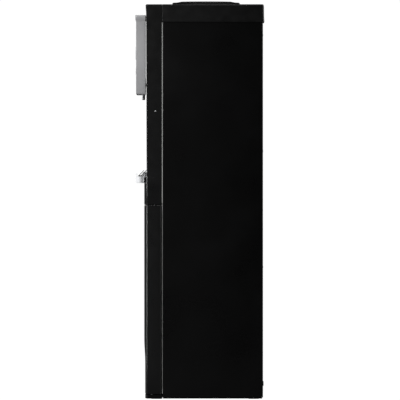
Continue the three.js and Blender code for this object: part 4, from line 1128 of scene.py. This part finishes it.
def drain_and_gland():
    low, high = low_high("drain_spout")
    z = (low[2] + high[2]) / 2
    pipe = revolve("drain_spout_pipe", rectangle(4, 6.4, low[1], high[1], 0.6, 4), (0, 0, z), 48, "Y")
    done(pipe, "white_plastic", "drain_spout", edge=0.05)
    low, high = low_high("drain_cap")
    start, end, radius = low[1], high[1], (high[0] - low[0]) / 2
    cap = revolve("drain_cap_knob", rounded([(6.8, start), (radius, start), (radius, end), (0, end), (0, 151),
                                             (6.8, 151)], [0.4, 0.6, 1.6, 0, 0, 0.6], 5), (0, 0, z), 96, "Y")
    grips = [rod("grip", 0.8, (radius * math.cos(k * math.pi / 12), z + radius * math.sin(k * math.pi / 12)),
                 start + 2, end - 2.4, "Y", 12) for k in range(24)]
    cut(cap, joined("grips", grips))
    done(cap, "black_plastic", "drain_cap", body="cap", edge=0.15)
    low, high = low_high("cord_gland")
    x, _, z = middle("cord_gland")
    start, end = low[1], high[1]
    profile = rounded([(3.6, start), (6, start), (6, start + 4), (9, start + 4), (9, start + 6.5),
                       (6.4, start + 6.5), (5.6, end), (3.6, end)],
                      [0.3, 0.4, 0.2, 0.8, 0.8, 0.6, 0.5, 0.4], 4)
    bush = revolve("cord_gland_bush", profile, (x, 0, z), 48, "Y")
    done(bush, "rubber", "cord_gland", edge=0.05)


# ---- small pieces that exist only here

CHEEK_SCREW = (-111, 720)          # Y and Z
CHEEK_FACE = 155.0
SCREW_SINK = 0.95                  # how far the rear heads sit in the flange


def cross_recess(axis, side, a, b, face, reach, half):
    """The two bars that a cross recess is cut with."""
    near, far = side * (face + 0.5), side * (face + 2)
    arms = ((reach, half), (half, reach))
    if axis == "X":
        return [block("bar", near, far, a - wide, a + wide, b - high, b + high) for wide, high in arms]
    return [block("bar", a - wide, a + wide, near, far, b - high, b + high) for wide, high in arms]


def screws():
    """Pan heads with a cross recess, on the cheeks of the upper front and round the back."""
    heads = [(f"cheek_screw_{word}", "X", side, CHEEK_SCREW, CHEEK_FACE)
             for word, side in (("left", -1), ("right", 1))]
    rear = low_high("side_panel_right")[1][1] - SCREW_SINK
    plate = low_high("back_panel")[0][1] + SHEET
    heads += [(f"rear_screw_{side}_{row}", "Y", 1, (x, z), rear) for row, z in enumerate((40, 330, 620, 910))
              for side, x in (("left", -149), ("right", 149))]
    heads += [(f"panel_screw_{row}_{column}", "Y", 1, (x, z), plate) for row, z in enumerate((200, 924))
              for column, x in enumerate((-138, 138))]
    for name, axis, side, (a, b), face in heads:
        size, reach, half = (0.6, 0.9, 0.25) if axis == "X" else (1.0, 1.9, 0.4)
        profile = [(size * radius, side * height) for radius, height in
                   ((0, -0.4), (3.4, -0.4), (3.4, 0.35), (3.0, 0.9), (2.0, 1.3), (0, 1.45))]
        place = (side * face, a, b) if axis == "X" else (a, face, b)
        head = revolve(name, profile, place, 32, axis)
        done(cut(head, *cross_recess(axis, side, a, b, face, reach, half)), "stainless", edge=0.08)


def seam_highlight_and_gap_shade():
    """Painted light in the seams: a pale strip in the seam between the front and the folded steel, a painted
    highlight in place of the light on the steel's rolled front edge, and a dark strip on the door's top,
    painted shade that keeps the split line dark.
    """
    (_, _, foot), (outer, rear, _) = low_high("upper_front_panel")
    seam = low_high("side_panel_right")[0][1]
    outer, bay_foot = outer - 0.25, foot + 6
    steel_top = low_high("top_cover")[0][2] - 1.5
    low, high = low_high("door_shell")
    # Painted highlight: pale strips in the seam stand in for the light on the steel sheet's rolled front edge.
    for side, name in ((-1, "seam_highlight_strip_left"), (1, "seam_highlight_strip_right")):
        inner = side * (outer - 3)
        strip = block(name, inner, side * (outer + 0.35), rear - 0.25, seam - 0.02, bay_foot, steel_top)
        lower = block("lower", inner, side * outer, seam - 0.46, seam - 0.04, low[2] + 3, bay_foot)
        done(fuse(strip, lower), "white_plastic", edge=0.05)
    # Painted shade: a dark rubber strip fills the gap on the door's top so that the split line reads dark.
    dark_rubber = block("door_top_gap_shade", -60, 60, low[1] + 4, high[1] - 2, high[2] - 1, high[2] + 0.3)
    done(dark_rubber, "rubber", body="door", edge=0.05)


def tray_lugs():
    """Small black lugs that the tray hooks over, on the lower front moulding."""
    low, high = low_high("drip_tray")
    for side, name in ((-1, "tray_lug_left"), (1, "tray_lug_right")):
        x = side * (high[0] + 5)
        lug = block(name, x - 3.5, x + 3.5, -139.6, -134.5, low[2] + 2, low[2] + 15)
        done(lug, "black_plastic", edge=0.6)


def carried_over():
    """The CAD nodes that keep their shape get their finish and small edge radii."""
    for name, node in frame["nodes"].items():
        node.data.materials.clear()
        node.data.materials.append(MATERIALS[SLOT_OF[name]])
        node.modifiers.new("weld", "WELD").merge_threshold = 0.00001
        edge_radii(node, 0.3, 2, 32)


for make in (
        camera, studio, softboxes, floor, carried_over, steel_sides, top_cover, bottle_seat,
        seat_gasket, feed_probe, upper_front_panel, alcove_liner, control_fascia, dispense_buttons,
        child_lock_slider, light_pipes, nozzles, drip_tray, drip_grille, door_shell, door_inner_panel,
        door_gasket, hinge_pins, feet, cabinet_liner, back_panel, condenser, compressor, pipework,
        hoses, evaporator, electrics, drain_and_gland, screws, seam_highlight_and_gap_shade, tray_lugs):
    make()

bpy.context.scene.view_settings.view_transform = "Standard"
bpy.context.scene.view_settings.look = "None"
